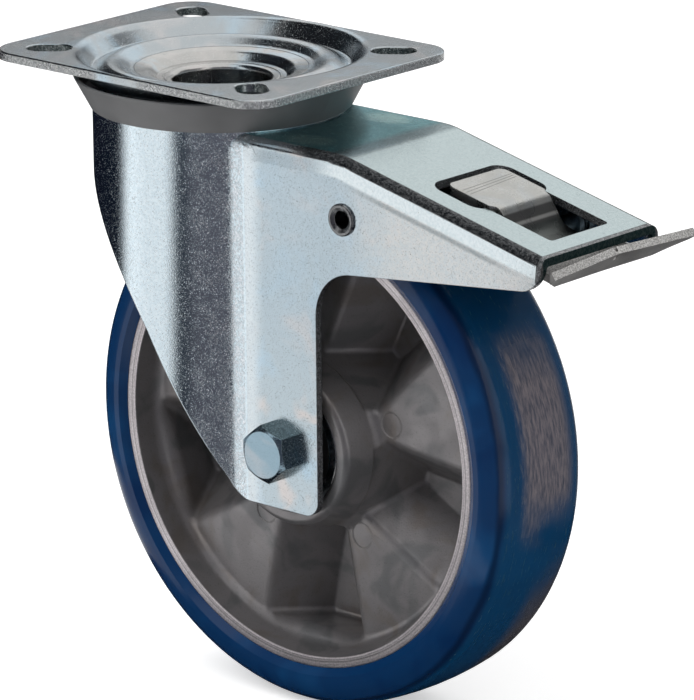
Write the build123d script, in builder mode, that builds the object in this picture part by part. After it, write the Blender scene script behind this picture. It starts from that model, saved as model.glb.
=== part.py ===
"""Swivel castor with a top plate, a pressed fork with a canopy, a cast wheel centre
with a bonded tyre, and a foot brake that holds the wheel and the swivel head.

Frame: origin on the swivel axis in the plate's top face, +Z up. The wheel trails
towards +X, where the pedal is, and its axle lies along Y. Millimetres.
"""

import math
import os

from build123d import *

# Top plate
PLATE_LENGTH = 135.0
PLATE_WIDTH = 110.0
PLATE_CORNER = 13.0
PLATE_T = 3.2
PLATE_EDGE_R = 0.7
BOLT_X = 105.0  # between the outer ends of the slots
BOLT_Y = 80.0
SLOT_WIDTH = 11.0
SLOT_SHIFT = 5.5  # how far each slot runs in towards the swivel axis
DISH_RIM = 54.8
DISH_WALL_R = 47.6  # foot of the dish's steep wall
DISH_Z = -6.6
BEAD_Z = -2.6  # top of the bead over the balls, before it is rounded
SEAT_R = 32.2
SEAT_Z = -6.35
SEAT_BORE_R = 28.0

# Swivel head
UPPER_BALL_R = 4.0
UPPER_RACE_R = 40.0
UPPER_BALL_Z = -10.78
UPPER_BALLS = 24
LOWER_BALL_R = 3.0
LOWER_RACE_R = 28.0
LOWER_BALL_Z = -19.4
LOWER_BALLS = 20
RACE_PLAY = 0.05
PRESS_GAP = 0.03  # left between pressed pieces, so that their faces don't meet
TUBE_BORE_R = 18.0
TUBE_R = 21.0
TUBE_FOOT_Z = -30.6
TUBE_FLANGE_R = 25.5
TUBE_CURL_R = 23.95  # the riveted top
TUBE_CURL_Z = -9.85
WASHER_GAP = 0.1  # the joint line between the plate and the centre washer
WASHER_FOOT_Z = -13.3
WASHER_STEP_R = 24.0
WASHER_STEP_Z = -11.65
LOWER_RACE_RIM_R = 34.6
LOWER_RACE_WALL = 2.4
HEAD_TOP = -14.0
LOCK_TEETH = 24
LOCK_RING_R = 38.0
LOCK_ROOT_R = 34.0
LOCK_RING_TOP = -24.8
LOCK_RING_T = 3.2
LOCK_GAP = 4.8  # width of the gaps between the teeth
SEAL_T = 1.3
SEAL_FOOT_R = 47.6
SEAL_FOOT_Z = -19.7
SEAL_RIM_R = 54.5
SEAL_RIM_Z = -8.1

# Fork
FORK_T = 3.0
FORK_HALF = 33.0
HEAD_R = 47.5
ROOF_Z = -20.3
ROOF_BEND_X = 85.0
ROOF_BEND_R = 35.0
ROOF_SLOPE = 0.2348  # fall per millimetre of X
FORK_FRONT = 178.0
CREASE_R = 8.0
CREASE_END = 41.0
BAND_H = 8.0  # the band under each roof edge leans in by BAND_IN over this height
BAND_IN = 1.2
ROOF_R = 4.0
SHOULDER_R = 5.0
CANOPY_RISE = 0.104
CANOPY_LOW_Z = -72.3
LEG_EDGE_SLOPE = -1.95
LEG_EDGE_TOP = (5.0, -95.5)  # where the leg's straight front edge starts
SWEPT_TOP = (-47.5, -29.5)
SWEPT_MIDDLE = (-23.0, -56.4)
LEG_REAR_X = 75.0
LEG_FOOT = -156.8
HEAD_BORE_R = 23.5
TAB_WINDOW = (117.0, 141.0)  # the window's wide part, from rear to front
TAB_WINDOW_WIDTH = 40.0
TAB_WINDOW_R = 6.0
STEP_WINDOW = (128.0, 169.7)  # the narrower part in front of it
STEP_WINDOW_WIDTH = 31.6
STEP_WINDOW_R = 1.5

# Wheel
AXLE_X = 55.0
AXLE_Z = -135.0
WHEEL_R = 100.0
TYRE_HALF = 25.0
TREAD_EDGE_R = 97.6  # where the crowned tread meets the side wall, before it is rounded
SHOULDER_BEND_R = 10.0
RIM_R = 84.0
RIM_HALF = 23.0
BARREL_R = 80.0
FAN_Y = 13.0
HUB_R = 29.0
HUB_HALF = 27.5
HUB_BORE_R = 20.5
BEARING_STOP_Y = 11.9
BEARING_R = 23.5
BEARING_BORE_R = 10.0
BEARING_W = 14.0
BEARING_RING_T = 4.0
BEARING_Y = 19.0
BALL_PITCH_R = 16.75
BEARING_BALL_R = 3.9
BALLS_PER_BEARING = 8
FANS = 5
FIRST_FAN = 18.0  # degrees
# Pocket corners as (radius, degrees from the pocket's middle), at the fan face and at the floor
POCKET_MOUTH = [(34.5, -27.0), (76.5, -18.3), (76.5, 18.3), (34.5, 27.0)]
POCKET_FLOOR = [(38.5, -3.5), (75.0, -7.3), (75.0, 7.3), (38.5, 3.5)]
POCKET_FLOOR_Y = 8.0
FAN_EDGE_R = 5.0
EJECTOR_R = 4.75
EJECTOR_PITCH_R = 40.0
EJECTOR_DEPTH = 0.35
SEAL_PITCH_R = 16.85
SEAL_HEIGHT = 5.2
SEAL_THICK = 0.9
SEAL_INSET = 6.35  # from a bearing's middle to the middle of each seal

# Axle
AXLE_R = 6.0
HEX_AF = 19.0
HEX_R = HEX_AF / math.sqrt(3)
BOLT_HEAD_H = 7.5
BOLT_FACE_R = 8.7
NUT_H = 10.0
NUT_FACE_R = 9.4
THREAD_REACH = 16.0  # how far the bolt comes out of the far leg
WASHER_T = 2.5
WASHER_R = 12.0
SPACER_R = 13.6
SPACER_FACE_Y = 30.0

# Brake
PIVOT_X = 88.0
PIVOT_Z = -43.0
PEDAL_X = 143.0
PEDAL_Z = -47.0
PIVOT_R = 4.0
RIVET_BORE_R = 3.3
PEDAL_PIN_R = 3.5
PIN_HEAD_R = 4.5
PIN_HEAD_T = 0.7
BRAKE_TILT = 4.5  # degrees that the lever turns when the brake is on
SHOE_GAP = 0.8  # left between the shoe and the tyre at that tilt
LEVER_T = 2.5
LEVER_HALF = 28.6
LEVER_TOP = -28.6
TONGUE_X = 34.6
TONGUE_HALF = 1.8
LEVER_WEB_END = 116.0
LEVER_BEND_X = 92.0
CHEEK_END = 5.5  # how far the cheeks reach past the pedal pin, each way
SHOE_X = (97.0, 115.0)
SHOE_WIDTH = 24.0
SHEET_T = 3.0
TAB_HALF = 15.2
NECK_HALF = 13.5
ROOT_HALF = 23.5
LIP_HALF = 39.0
LIP_ROOT_X = 178.0
LIP_NICK_X = 185.6
LIP_NICK_R = 0.9
TAB_X = 121.5
TREAD_X = 151.5
TREAD_Z = -43.5
TREAD_SLOPE = 0.264
SPRING_T = 0.8
SPRING_WIDTH = 12.0

# Blanks and cuts that go right through
WIDE = 120.0
DEEP = 200.0

SPIN_AXIS = Axis((AXLE_X, 0, AXLE_Z), (0, 1, 0))
# Half sections of turned pieces: swivel pieces read (radius, height), wheel pieces read (Y, radius).
SWIVEL_SECTION = Plane.XZ
WHEEL_SECTION = Plane(origin=(AXLE_X, 0, AXLE_Z), x_dir=(0, 1, 0), z_dir=(1, 0, 0))


def wheel_face(y):
    """A plane across the wheel at Y, with X and Z measured from the axle."""
    return Plane(origin=(AXLE_X, y, AXLE_Z), x_dir=(1, 0, 0), z_dir=(0, -1, 0))


def side_plane(y):
    """A plane parallel to XZ at Y, facing -Y, with the part's own X and Z."""
    return Plane(origin=(0, y, 0), x_dir=(1, 0, 0), z_dir=(0, -1, 0))


def polar(radius, degrees):
    """A point at a radius and an angle about the origin."""
    angle = math.radians(degrees)
    return (radius * math.cos(angle), radius * math.sin(angle))


def roof_z(x):
    """Height of the canopy's sloping top at X."""
    return ROOF_Z - ROOF_SLOPE * (x - ROOF_BEND_X)


def tread_z(x):
    """Height of the pedal's tread at X, where it runs under the canopy front."""
    return TREAD_Z - TREAD_SLOPE * (x - TREAD_X)


# ---------------------------------------------------------------- top plate
with BuildPart() as mounting_plate:
    with BuildSketch(Plane.XY.offset(-PLATE_T)):
        RectangleRounded(PLATE_LENGTH, PLATE_WIDTH, PLATE_CORNER)
        slot_angle = math.degrees(math.atan2(BOLT_Y, BOLT_X))
        slot_middle = math.hypot(BOLT_X, BOLT_Y) / 2 - SLOT_SHIFT / 2
        for slot_turn in (slot_angle, 180 - slot_angle, 180 + slot_angle, -slot_angle):
            with Locations(polar(slot_middle, slot_turn)):
                SlotCenterToCenter(SLOT_SHIFT, SLOT_WIDTH, rotation=slot_turn, mode=Mode.SUBTRACT)
    extrude(amount=PLATE_T)
    fillet(mounting_plate.faces().sort_by(Axis.Z)[-1].edges(), radius=PLATE_EDGE_R)
    with BuildSketch(Plane.XY.offset(-PLATE_T)):
        Circle(DISH_RIM)
    extrude(amount=PLATE_T, mode=Mode.SUBTRACT)
    # The pressed dish: a steep wall, a groove, a raised bead over the balls and a
    # dip at the seat of the centre washer.
    with BuildSketch(SWIVEL_SECTION):
        with BuildLine():
            FilletPolyline(
                (DISH_RIM, 0),
                (52.6, 0),
                (DISH_WALL_R, DISH_Z),
                (UPPER_RACE_R, BEAD_Z),
                (33.4, SEAT_Z),
                (29.0, SEAT_Z),
                radius=[4.2, 1.5, 7.0, 3.6],
            )
            offset(amount=PLATE_T, side=Side.LEFT)
        make_face()
        with BuildLine():
            Polyline(
                (SEAT_R, -6.0),
                (SEAT_R, SEAT_Z),
                (29.4, -9.7),
                (SEAT_BORE_R, -9.7),
                (SEAT_BORE_R, -6.0),
                close=True,
            )
        make_face(mode=Mode.SUBTRACT)
        with Locations((UPPER_RACE_R, UPPER_BALL_Z)):
            Circle(UPPER_BALL_R + RACE_PLAY, mode=Mode.SUBTRACT)
    revolve(axis=Axis.Z)

# ------------------------------------------------------- swivel head, fixed side
with BuildPart() as centre_washer:
    with BuildSketch(SWIVEL_SECTION):
        with BuildLine():
            washer_rim = (SEAT_R - WASHER_GAP, SEAT_Z - WASHER_GAP / 2)
            FilletPolyline((WASHER_STEP_R, -9.9), (27.4, -7.2), washer_rim, radius=[5.0])
            Polyline(
                washer_rim,
                (29.3, -9.7),
                (27.8, WASHER_FOOT_Z),
                (TUBE_R + PRESS_GAP, WASHER_FOOT_Z),
                (TUBE_R + PRESS_GAP, WASHER_STEP_Z),
                (WASHER_STEP_R, WASHER_STEP_Z),
                (WASHER_STEP_R, -9.9),
            )
        make_face()
    revolve(axis=Axis.Z)

with BuildPart() as king_tube:
    with BuildSketch(SWIVEL_SECTION):
        with BuildLine():
            Polyline(
                (TUBE_BORE_R, TUBE_FOOT_Z),
                (TUBE_FLANGE_R, TUBE_FOOT_Z),
                (TUBE_FLANGE_R, LOCK_RING_TOP - LOCK_RING_T - 0.05),
                (TUBE_R, LOCK_RING_TOP - LOCK_RING_T - 0.05),
                (TUBE_R, WASHER_STEP_Z + 0.05),
                (TUBE_CURL_R, WASHER_STEP_Z + 0.05),
                (TUBE_CURL_R, TUBE_CURL_Z),
                (TUBE_BORE_R, -10.2),
                close=True,
            )
        tube_corners = make_face().vertices()
        fillet(tube_corners.sort_by_distance((TUBE_BORE_R, -10.2))[0], radius=1.8)
        fillet(tube_corners.sort_by_distance((TUBE_CURL_R, TUBE_CURL_Z))[0], radius=0.5)
        # the fine groove that the riveting tool leaves
        with Locations((21.4, -9.9)):
            Circle(0.3, mode=Mode.SUBTRACT)
    revolve(axis=Axis.Z)

with BuildPart() as lower_race:
    with BuildSketch(SWIVEL_SECTION):
        with BuildLine():
            FilletPolyline(
                (TUBE_R + PRESS_GAP, LOCK_RING_TOP),
                (LOWER_RACE_RIM_R, LOCK_RING_TOP),
                (LOWER_RACE_RIM_R, -18.6),
                (LOWER_RACE_RIM_R - LOWER_RACE_WALL, -18.6),
                (LOWER_RACE_RIM_R - LOWER_RACE_WALL, -21.8),
                (TUBE_R + PRESS_GAP, -21.8),
                radius=[3.4, 0.8, 0.8, 1.0],
            )
            Line((TUBE_R + PRESS_GAP, -21.8), (TUBE_R + PRESS_GAP, LOCK_RING_TOP))
        make_face()
        with Locations((LOWER_RACE_R, LOWER_BALL_Z)):
            Circle(LOWER_BALL_R + RACE_PLAY, mode=Mode.SUBTRACT)
    revolve(axis=Axis.Z)

with BuildPart() as lock_ring:
    with BuildSketch(Plane.XY.offset(LOCK_RING_TOP - LOCK_RING_T)):
        Circle(LOCK_RING_R)
        Circle(TUBE_R + PRESS_GAP, mode=Mode.SUBTRACT)
        with PolarLocations(LOCK_RING_R, LOCK_TEETH):
            Rectangle(2 * (LOCK_RING_R - LOCK_ROOT_R), LOCK_GAP, mode=Mode.SUBTRACT)
    extrude(amount=LOCK_RING_T)

with BuildPart() as upper_balls:
    with Locations((0, 0, UPPER_BALL_Z)):
        with PolarLocations(UPPER_RACE_R, UPPER_BALLS):
            Sphere(UPPER_BALL_R)

with BuildPart() as lower_balls:
    with Locations((0, 0, LOWER_BALL_Z)):
        with PolarLocations(LOWER_RACE_R, LOWER_BALLS):
            Sphere(LOWER_BALL_R)

# ------------------------------------------------------------ swivel head, fork
with BuildPart() as dust_seal:
    with BuildSketch(SWIVEL_SECTION):
        shoulder = Vector(HEAD_R - SHOULDER_R, HEAD_TOP - SHOULDER_R)
        seat_r = SEAL_FOOT_R - shoulder.X
        seat_middle = shoulder + Vector(*polar(seat_r, 31))
        seat_end = shoulder + Vector(*polar(seat_r, 62))
        with BuildLine():
            Line((SEAL_FOOT_R, SEAL_FOOT_Z), (SEAL_FOOT_R, shoulder.Y))
            ThreePointArc((SEAL_FOOT_R, shoulder.Y), seat_middle, seat_end)
            FilletPolyline(
                seat_end,
                (seat_end.X, -13.2),
                (49.8, -13.9),
                (SEAL_RIM_R - SEAL_T, SEAL_RIM_Z + 0.4),
                (SEAL_RIM_R, SEAL_RIM_Z),
                (SEAL_FOOT_R + 0.7, SEAL_FOOT_Z),
                (SEAL_FOOT_R, SEAL_FOOT_Z),
                radius=[0.5, 1.0, 0.5, 0.4, 0.0],
            )
        make_face()
    revolve(axis=Axis.Z)


def fork_body(inset):
    """The solid inside the fork's outer skin, drawn in by inset all round."""
    half = FORK_HALF - inset
    radius = HEAD_R - inset
    top = ROOF_Z - inset
    with BuildPart() as body:
        # canopy: one cross-section run level to the bend and then down the slope
        with BuildLine() as ridge:
            FilletPolyline(
                (0, 0, top),
                (ROOF_BEND_X, 0, top),
                (ROOF_BEND_X + WIDE, 0, top - WIDE * ROOF_SLOPE),
                radius=[ROOF_BEND_R],
            )
        with BuildSketch(Plane.YZ, mode=Mode.PRIVATE) as arch:
            with BuildLine():
                Polyline(
                    (-half, -DEEP),
                    (-half, top - BAND_H),
                    (-half + BAND_IN, top),
                    (half - BAND_IN, top),
                    (half, top - BAND_H),
                    (half, -DEEP),
                    close=True,
                )
            make_face()
            fillet(arch.vertices().group_by(Axis.Y)[-1], radius=ROOF_R - inset)
        sweep(arch.sketch, path=ridge.line, normal=(1, 0, 0))
        # filled crease where the legs leave the round head
        with BuildSketch(Plane.XY.offset(-DEEP)) as crease:
            Circle(radius)
            with Locations((CREASE_END / 2, 0)):
                Rectangle(CREASE_END, 2 * half)
            crease_x = math.sqrt(radius**2 - half**2)
            fillet(
                crease.vertices().filter_by(lambda v: abs(v.X - crease_x) < 0.01),
                radius=CREASE_R + inset,
            )
        extrude(amount=DEEP + top - ROOF_R - 0.5)
        # round head with its rolled shoulder
        with BuildSketch(SWIVEL_SECTION):
            with BuildLine():
                FilletPolyline(
                    (0, -DEEP),
                    (radius, -DEEP),
                    (radius, HEAD_TOP - inset),
                    (0, HEAD_TOP - inset),
                    radius=[0.0, SHOULDER_R - inset],
                )
                Line((0, HEAD_TOP - inset), (0, -DEEP))
            make_face()
        revolve(axis=Axis.Z)
    return body.part


fork_outside = fork_body(0)
fork_inside = fork_body(FORK_T)

with BuildPart() as fork:
    add(fork_outside)
    add(fork_inside, mode=Mode.SUBTRACT)
    # side outline: swept front edge, leg, rounded foot, throat over the tyre, canopy
    with BuildSketch(side_plane(WIDE / 2)):
        with BuildLine():
            ThreePointArc(SWEPT_TOP, SWEPT_MIDDLE, LEG_EDGE_TOP)
            foot_x = LEG_EDGE_TOP[0] + (LEG_FOOT - LEG_EDGE_TOP[1]) / LEG_EDGE_SLOPE
            FilletPolyline(
                LEG_EDGE_TOP,
                (foot_x, LEG_FOOT),
                (LEG_REAR_X, LEG_FOOT),
                (LEG_REAR_X, CANOPY_LOW_Z + CANOPY_RISE * LEG_REAR_X),
                (FORK_FRONT + 1, CANOPY_LOW_Z + CANOPY_RISE * (FORK_FRONT + 1)),
                (FORK_FRONT - 1, -10),
                (-60, -10),
                (-60, -20),
                SWEPT_TOP,
                radius=[10.0, 6.0, 18.0, 9.0, 0.0, 0.0, 0.0],
            )
        make_face()
    extrude(amount=WIDE, mode=Mode.INTERSECT)
    with Locations((0, 0, HEAD_TOP)):
        Cylinder(HEAD_BORE_R, 20, mode=Mode.SUBTRACT)
    with BuildSketch(SWIVEL_SECTION):
        with Locations((UPPER_RACE_R, UPPER_BALL_Z)):
            Circle(UPPER_BALL_R + RACE_PLAY)
        with Locations((LOWER_RACE_R, LOWER_BALL_Z)):
            Circle(LOWER_BALL_R + RACE_PLAY)
    revolve(axis=Axis.Z, mode=Mode.SUBTRACT)
    # the stepped window in the canopy
    with BuildSketch(Plane.XY.offset(-WIDE / 2)):
        for (rear, front), width, corner in (
            (TAB_WINDOW, TAB_WINDOW_WIDTH, TAB_WINDOW_R),
            (STEP_WINDOW, STEP_WINDOW_WIDTH, STEP_WINDOW_R),
        ):
            with Locations(((rear + front) / 2, 0)):
                RectangleRounded(front - rear, width, corner)
    extrude(amount=WIDE / 2, mode=Mode.SUBTRACT)
    with Locations(Location((AXLE_X, 0, AXLE_Z), (90, 0, 0))):
        Cylinder(AXLE_R + 0.15, WIDE, mode=Mode.SUBTRACT)
    with Locations(Location((PIVOT_X, 0, PIVOT_Z), (90, 0, 0))):
        Cylinder(PIVOT_R + 0.02, WIDE, mode=Mode.SUBTRACT)

# ------------------------------------------------------------------------ wheel
def pocket_outline(height):
    """Corners of a pocket at a height over the wheel's middle plane, following its draft."""
    share = (height + POCKET_FLOOR_Y) / (FAN_Y + POCKET_FLOOR_Y)
    corners = []
    for floor_corner, mouth_corner in zip(POCKET_FLOOR, POCKET_MOUTH):
        low = Vector(*polar(*floor_corner))
        high = Vector(*polar(*mouth_corner))
        corners.append(low + (high - low) * share)
    return corners


def fan_places(side, turn):
    """Five places round the axle, turned by degrees, whose Z points out of the wheel on that side."""
    places = []
    for fan in range(FANS):
        along_x, along_z = polar(1, turn + 360 / FANS * fan)
        places.append(Plane(origin=(AXLE_X, 0, AXLE_Z), x_dir=(along_x, 0, along_z), z_dir=(0, side, 0)).location)
    return places


with BuildPart() as pocket:
    # the tool for one tapered pocket, longer than the pocket is deep
    for height in (FAN_Y + 3, -POCKET_FLOOR_Y):
        with BuildSketch(Plane.XY.offset(height)):
            Polygon(*pocket_outline(height), align=None)
    loft()
    fillet(pocket.edges().filter_by(lambda e: e.length > FAN_Y + POCKET_FLOOR_Y and abs(e.center().Z) < FAN_Y - 5), radius=2.3)
    fillet(pocket.faces().sort_by(Axis.Z)[0].edges(), radius=1.5)

with BuildPart() as wheel_centre:
    with BuildSketch(WHEEL_SECTION):
        with BuildLine():
            FilletPolyline(
                (0, HUB_BORE_R),
                (BEARING_STOP_Y, HUB_BORE_R),
                (BEARING_STOP_Y, BEARING_R),
                (HUB_HALF - 1, BEARING_R),
                (HUB_HALF, BEARING_R + 1.1),
                (HUB_HALF, HUB_R),
                (FAN_Y, 33.2),
                (FAN_Y, 77.5),
                (RIM_HALF, BARREL_R),
                (RIM_HALF, RIM_R),
                (0, RIM_R),
                radius=[0.0, 0.0, 0.0, 0.0, 2.5, 4.5, 4.0, 0.0, 0.3],
            )
            Line((0, RIM_R), (0, HUB_BORE_R))
        make_face()
        mirror(about=Plane.YZ)
    revolve(axis=SPIN_AXIS)
    # pockets between the fans, on alternate sides
    for side, first_pocket in ((-1, FIRST_FAN + 180 / FANS), (1, FIRST_FAN + 360 / FANS)):
        with Locations(*fan_places(side, first_pocket)):
            add(pocket.part, mode=Mode.SUBTRACT)
    fillet(
        wheel_centre.edges().filter_by(
            lambda e: abs(abs(e.center().Y) - FAN_Y) < 0.6
            and e.length < 45
            and EJECTOR_PITCH_R - 6.5 < math.hypot(e.center().X - AXLE_X, e.center().Z - AXLE_Z) < 79
        ),
        radius=FAN_EDGE_R,
    )
    # ejector marks at the feet of the fans
    for side, first_mark in ((-1, FIRST_FAN), (1, FIRST_FAN + 180 / FANS)):
        with Locations(*fan_places(side, first_mark)):
            with Locations((EJECTOR_PITCH_R, 0, FAN_Y)):
                Cylinder(EJECTOR_R, 2 * EJECTOR_DEPTH, mode=Mode.SUBTRACT)

with BuildPart() as tyre:
    with BuildSketch(WHEEL_SECTION) as tread:
        with BuildLine():
            Polyline(
                (-TYRE_HALF, TREAD_EDGE_R),
                (-TYRE_HALF, 86.8),
                (-RIM_HALF - 0.6, 84.8),
                (-RIM_HALF, RIM_R),
                (RIM_HALF, RIM_R),
                (RIM_HALF + 0.6, 84.8),
                (TYRE_HALF, 86.8),
                (TYRE_HALF, TREAD_EDGE_R),
            )
            ThreePointArc((TYRE_HALF, TREAD_EDGE_R), (0, WHEEL_R), (-TYRE_HALF, TREAD_EDGE_R))
        make_face()
        fillet(tread.vertices().group_by(Axis.Y)[-1], radius=SHOULDER_BEND_R)
    revolve(axis=SPIN_AXIS)

# --------------------------------------------------------------------- bearings
race_centres = [(BEARING_Y, BALL_PITCH_R), (-BEARING_Y, BALL_PITCH_R)]
outer_ring_middle = BEARING_R - BEARING_RING_T / 2
inner_ring_middle = BEARING_BORE_R + BEARING_RING_T / 2
with BuildPart() as bearing_outer_rings:
    with BuildSketch(WHEEL_SECTION) as outer_section:
        with Locations((BEARING_Y, outer_ring_middle), (-BEARING_Y, outer_ring_middle)):
            Rectangle(BEARING_W, BEARING_RING_T)
        chamfer(outer_section.vertices().group_by(Axis.Y)[-1], length=0.8)
        with Locations(*race_centres):
            Circle(BEARING_BALL_R + RACE_PLAY, mode=Mode.SUBTRACT)
    revolve(axis=SPIN_AXIS)

with BuildPart() as bearing_inner_rings:
    with BuildSketch(WHEEL_SECTION):
        with Locations((BEARING_Y, inner_ring_middle), (-BEARING_Y, inner_ring_middle)):
            Rectangle(BEARING_W, BEARING_RING_T)
        with Locations(*race_centres):
            Circle(BEARING_BALL_R + RACE_PLAY, mode=Mode.SUBTRACT)
    revolve(axis=SPIN_AXIS)

with BuildPart() as bearing_balls:
    for y in (-BEARING_Y, BEARING_Y):
        with Locations(wheel_face(y)):
            with PolarLocations(BALL_PITCH_R, BALLS_PER_BEARING):
                Sphere(BEARING_BALL_R)

with BuildPart() as bearing_seals:
    with BuildSketch(WHEEL_SECTION):
        seal_ys = [side * (BEARING_Y + end * SEAL_INSET) for side in (-1, 1) for end in (-1, 1)]
        with Locations(*[(y, SEAL_PITCH_R) for y in seal_ys]):
            Rectangle(SEAL_THICK, SEAL_HEIGHT)
    revolve(axis=SPIN_AXIS)

# ------------------------------------------------------------------------- axle
with BuildPart() as axle_sleeve:
    with BuildSketch(wheel_face(SPACER_FACE_Y)):
        Circle(BEARING_BORE_R - 0.02)
        Circle(AXLE_R + 0.1, mode=Mode.SUBTRACT)
    extrude(amount=2 * SPACER_FACE_Y)

with BuildPart() as side_spacers:
    spacer_t = SPACER_FACE_Y - BEARING_Y - BEARING_W / 2
    for y in (spacer_t - SPACER_FACE_Y, SPACER_FACE_Y):
        with BuildSketch(wheel_face(y)):
            Circle(SPACER_R)
            Circle(BEARING_BORE_R + 0.02, mode=Mode.SUBTRACT)
        extrude(amount=spacer_t)



def corner_cut(face_y, face_r, outwards):
    """Section of the 30 degree cone that takes a hexagon's corners down to a round face."""
    far_r = HEX_R + 1.5
    back = face_y - outwards * (far_r - face_r) * math.tan(math.radians(30))
    Polyline((back, far_r), (face_y, face_r), (face_y, far_r), close=True)


with BuildPart() as axle_bolt:
    with BuildSketch(wheel_face(-FORK_HALF)):
        RegularPolygon(HEX_R, 6, rotation=-20)
    extrude(amount=BOLT_HEAD_H)
    with BuildSketch(WHEEL_SECTION):
        with BuildLine():
            corner_cut(-FORK_HALF - BOLT_HEAD_H, BOLT_FACE_R, -1)
        make_face()
    revolve(axis=SPIN_AXIS, mode=Mode.SUBTRACT)
    with BuildSketch(wheel_face(-FORK_HALF)):
        Circle(AXLE_R)
    extrude(amount=-(2 * FORK_HALF + THREAD_REACH))
    chamfer(axle_bolt.edges().group_by(Axis.Y)[-1], length=1.0)

with BuildPart() as axle_washer:
    with BuildSketch(wheel_face(FORK_HALF + WASHER_T)):
        Circle(WASHER_R)
        Circle(AXLE_R + 0.4, mode=Mode.SUBTRACT)
    extrude(amount=WASHER_T)

with BuildPart() as axle_nut:
    nut_foot = FORK_HALF + WASHER_T
    with BuildSketch(wheel_face(nut_foot + NUT_H)):
        RegularPolygon(HEX_R, 6, rotation=10)
        Circle(AXLE_R + 0.02, mode=Mode.SUBTRACT)
    extrude(amount=NUT_H)
    with BuildSketch(WHEEL_SECTION):
        with BuildLine():
            corner_cut(nut_foot + NUT_H, NUT_FACE_R, 1)
            corner_cut(nut_foot, NUT_FACE_R, -1)
        make_face()
    revolve(axis=SPIN_AXIS, mode=Mode.SUBTRACT)

# ------------------------------------------------------------------------ brake
with BuildPart() as pivot_rivets:
    for side in (-1, 1):
        with BuildSketch(Plane(origin=(PIVOT_X, 0, PIVOT_Z), x_dir=(0, side, 0), z_dir=(side, 0, 0))):
            with BuildLine():
                Polyline(
                    (24.9, RIVET_BORE_R),
                    (24.9, 5.2),
                    (26.05, 5.2),
                    (26.05, PIVOT_R),
                    (FORK_HALF, PIVOT_R),
                    (FORK_HALF, 5.9),
                    (FORK_HALF + 0.7, 5.9),
                    (FORK_HALF + 1.1, 5.4),
                    (FORK_HALF + 1.1, 4.7),
                    (FORK_HALF + 0.3, RIVET_BORE_R),
                    close=True,
                )
            make_face()
        revolve(axis=Axis((PIVOT_X, 0, PIVOT_Z), (0, 1, 0)))

with BuildPart() as pivot_washers:
    for y in (-LEVER_HALF - 0.05, FORK_HALF - FORK_T - 0.05):
        with BuildSketch(Plane(origin=(PIVOT_X, y, PIVOT_Z), x_dir=(1, 0, 0), z_dir=(0, -1, 0))):
            Circle(7.0)
            Circle(PIVOT_R + 0.05, mode=Mode.SUBTRACT)
        extrude(amount=FORK_HALF - FORK_T - LEVER_HALF - 0.1)

with BuildPart() as brake_lever:
    # web: tongue under the lock ring, level arm, and a front part that follows the canopy
    web_end_z = LEVER_TOP - (LEVER_WEB_END - LEVER_BEND_X) * ROOF_SLOPE
    with BuildSketch(side_plane(WIDE / 2)):
        with BuildLine():
            Polyline((TONGUE_X, LEVER_TOP), (LEVER_BEND_X, LEVER_TOP), (LEVER_WEB_END, web_end_z))
            offset(amount=LEVER_T, side=Side.RIGHT)
        make_face()
    extrude(amount=WIDE)
    with BuildSketch(Plane.XY.offset(-WIDE / 2)):
        with BuildLine():
            FilletPolyline(
                (TONGUE_X, TONGUE_HALF),
                (41.0, TONGUE_HALF),
                (41.0, 7.0),
                (66.0, 20.0),
                (66.0, LEVER_HALF),
                (LEVER_WEB_END, LEVER_HALF),
                radius=[1.0, 3.0, 8.0, 5.0],
            )
            Polyline((TONGUE_X, TONGUE_HALF), (TONGUE_X, 0), (LEVER_WEB_END, 0), (LEVER_WEB_END, LEVER_HALF))
        make_face()
        mirror(about=Plane.XZ)
    extrude(amount=WIDE / 2, mode=Mode.INTERSECT)
    # cheeks: from the web round the pivot and forward to the pedal pin
    for y in (-LEVER_HALF + LEVER_T, LEVER_HALF):
        with BuildSketch(side_plane(y)):
            with BuildLine():
                FilletPolyline(
                    (72.0, LEVER_TOP),
                    (LEVER_BEND_X, LEVER_TOP),
                    (LEVER_WEB_END, web_end_z),
                    (PEDAL_X, PEDAL_Z + CHEEK_END),
                    (PEDAL_X + CHEEK_END, PEDAL_Z + CHEEK_END),
                    (PEDAL_X + CHEEK_END, PEDAL_Z - CHEEK_END),
                    (PEDAL_X, PEDAL_Z - CHEEK_END),
                    (96.0, -52.0),
                    (80.0, -52.0),
                    (72.0, -36.0),
                    radius=[2.0, 0.0, 0.0, 0.0, 5.4, 5.4, 0.0, 6.0, 6.0, 0.0],
                    close=True,
                )
            make_face()
            with Locations((PIVOT_X, PIVOT_Z)):
                Circle(PIVOT_R + 0.06, mode=Mode.SUBTRACT)
            with Locations((PEDAL_X, PEDAL_Z)):
                Circle(PEDAL_PIN_R + 0.02, mode=Mode.SUBTRACT)
        extrude(amount=LEVER_T)

with BuildPart() as brake_shoe:
    with BuildSketch(side_plane(SHOE_WIDTH / 2)):
        with BuildLine():
            under = [LEVER_TOP - LEVER_T - (x - LEVER_BEND_X) * ROOF_SLOPE - 0.1 for x in SHOE_X]
            Polyline(
                (SHOE_X[0], under[0]),
                (SHOE_X[1], under[1]),
                (SHOE_X[1] + 1, -60),
                (SHOE_X[0], -60),
                close=True,
            )
        make_face()
        reach = math.hypot(AXLE_X - PIVOT_X, AXLE_Z - PIVOT_Z)
        angle = math.atan2(AXLE_Z - PIVOT_Z, AXLE_X - PIVOT_X) + math.radians(BRAKE_TILT)
        with Locations((PIVOT_X + reach * math.cos(angle), PIVOT_Z + reach * math.sin(angle))):
            Circle(WHEEL_R + SHOE_GAP, mode=Mode.SUBTRACT)
    extrude(amount=SHOE_WIDTH)

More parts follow.
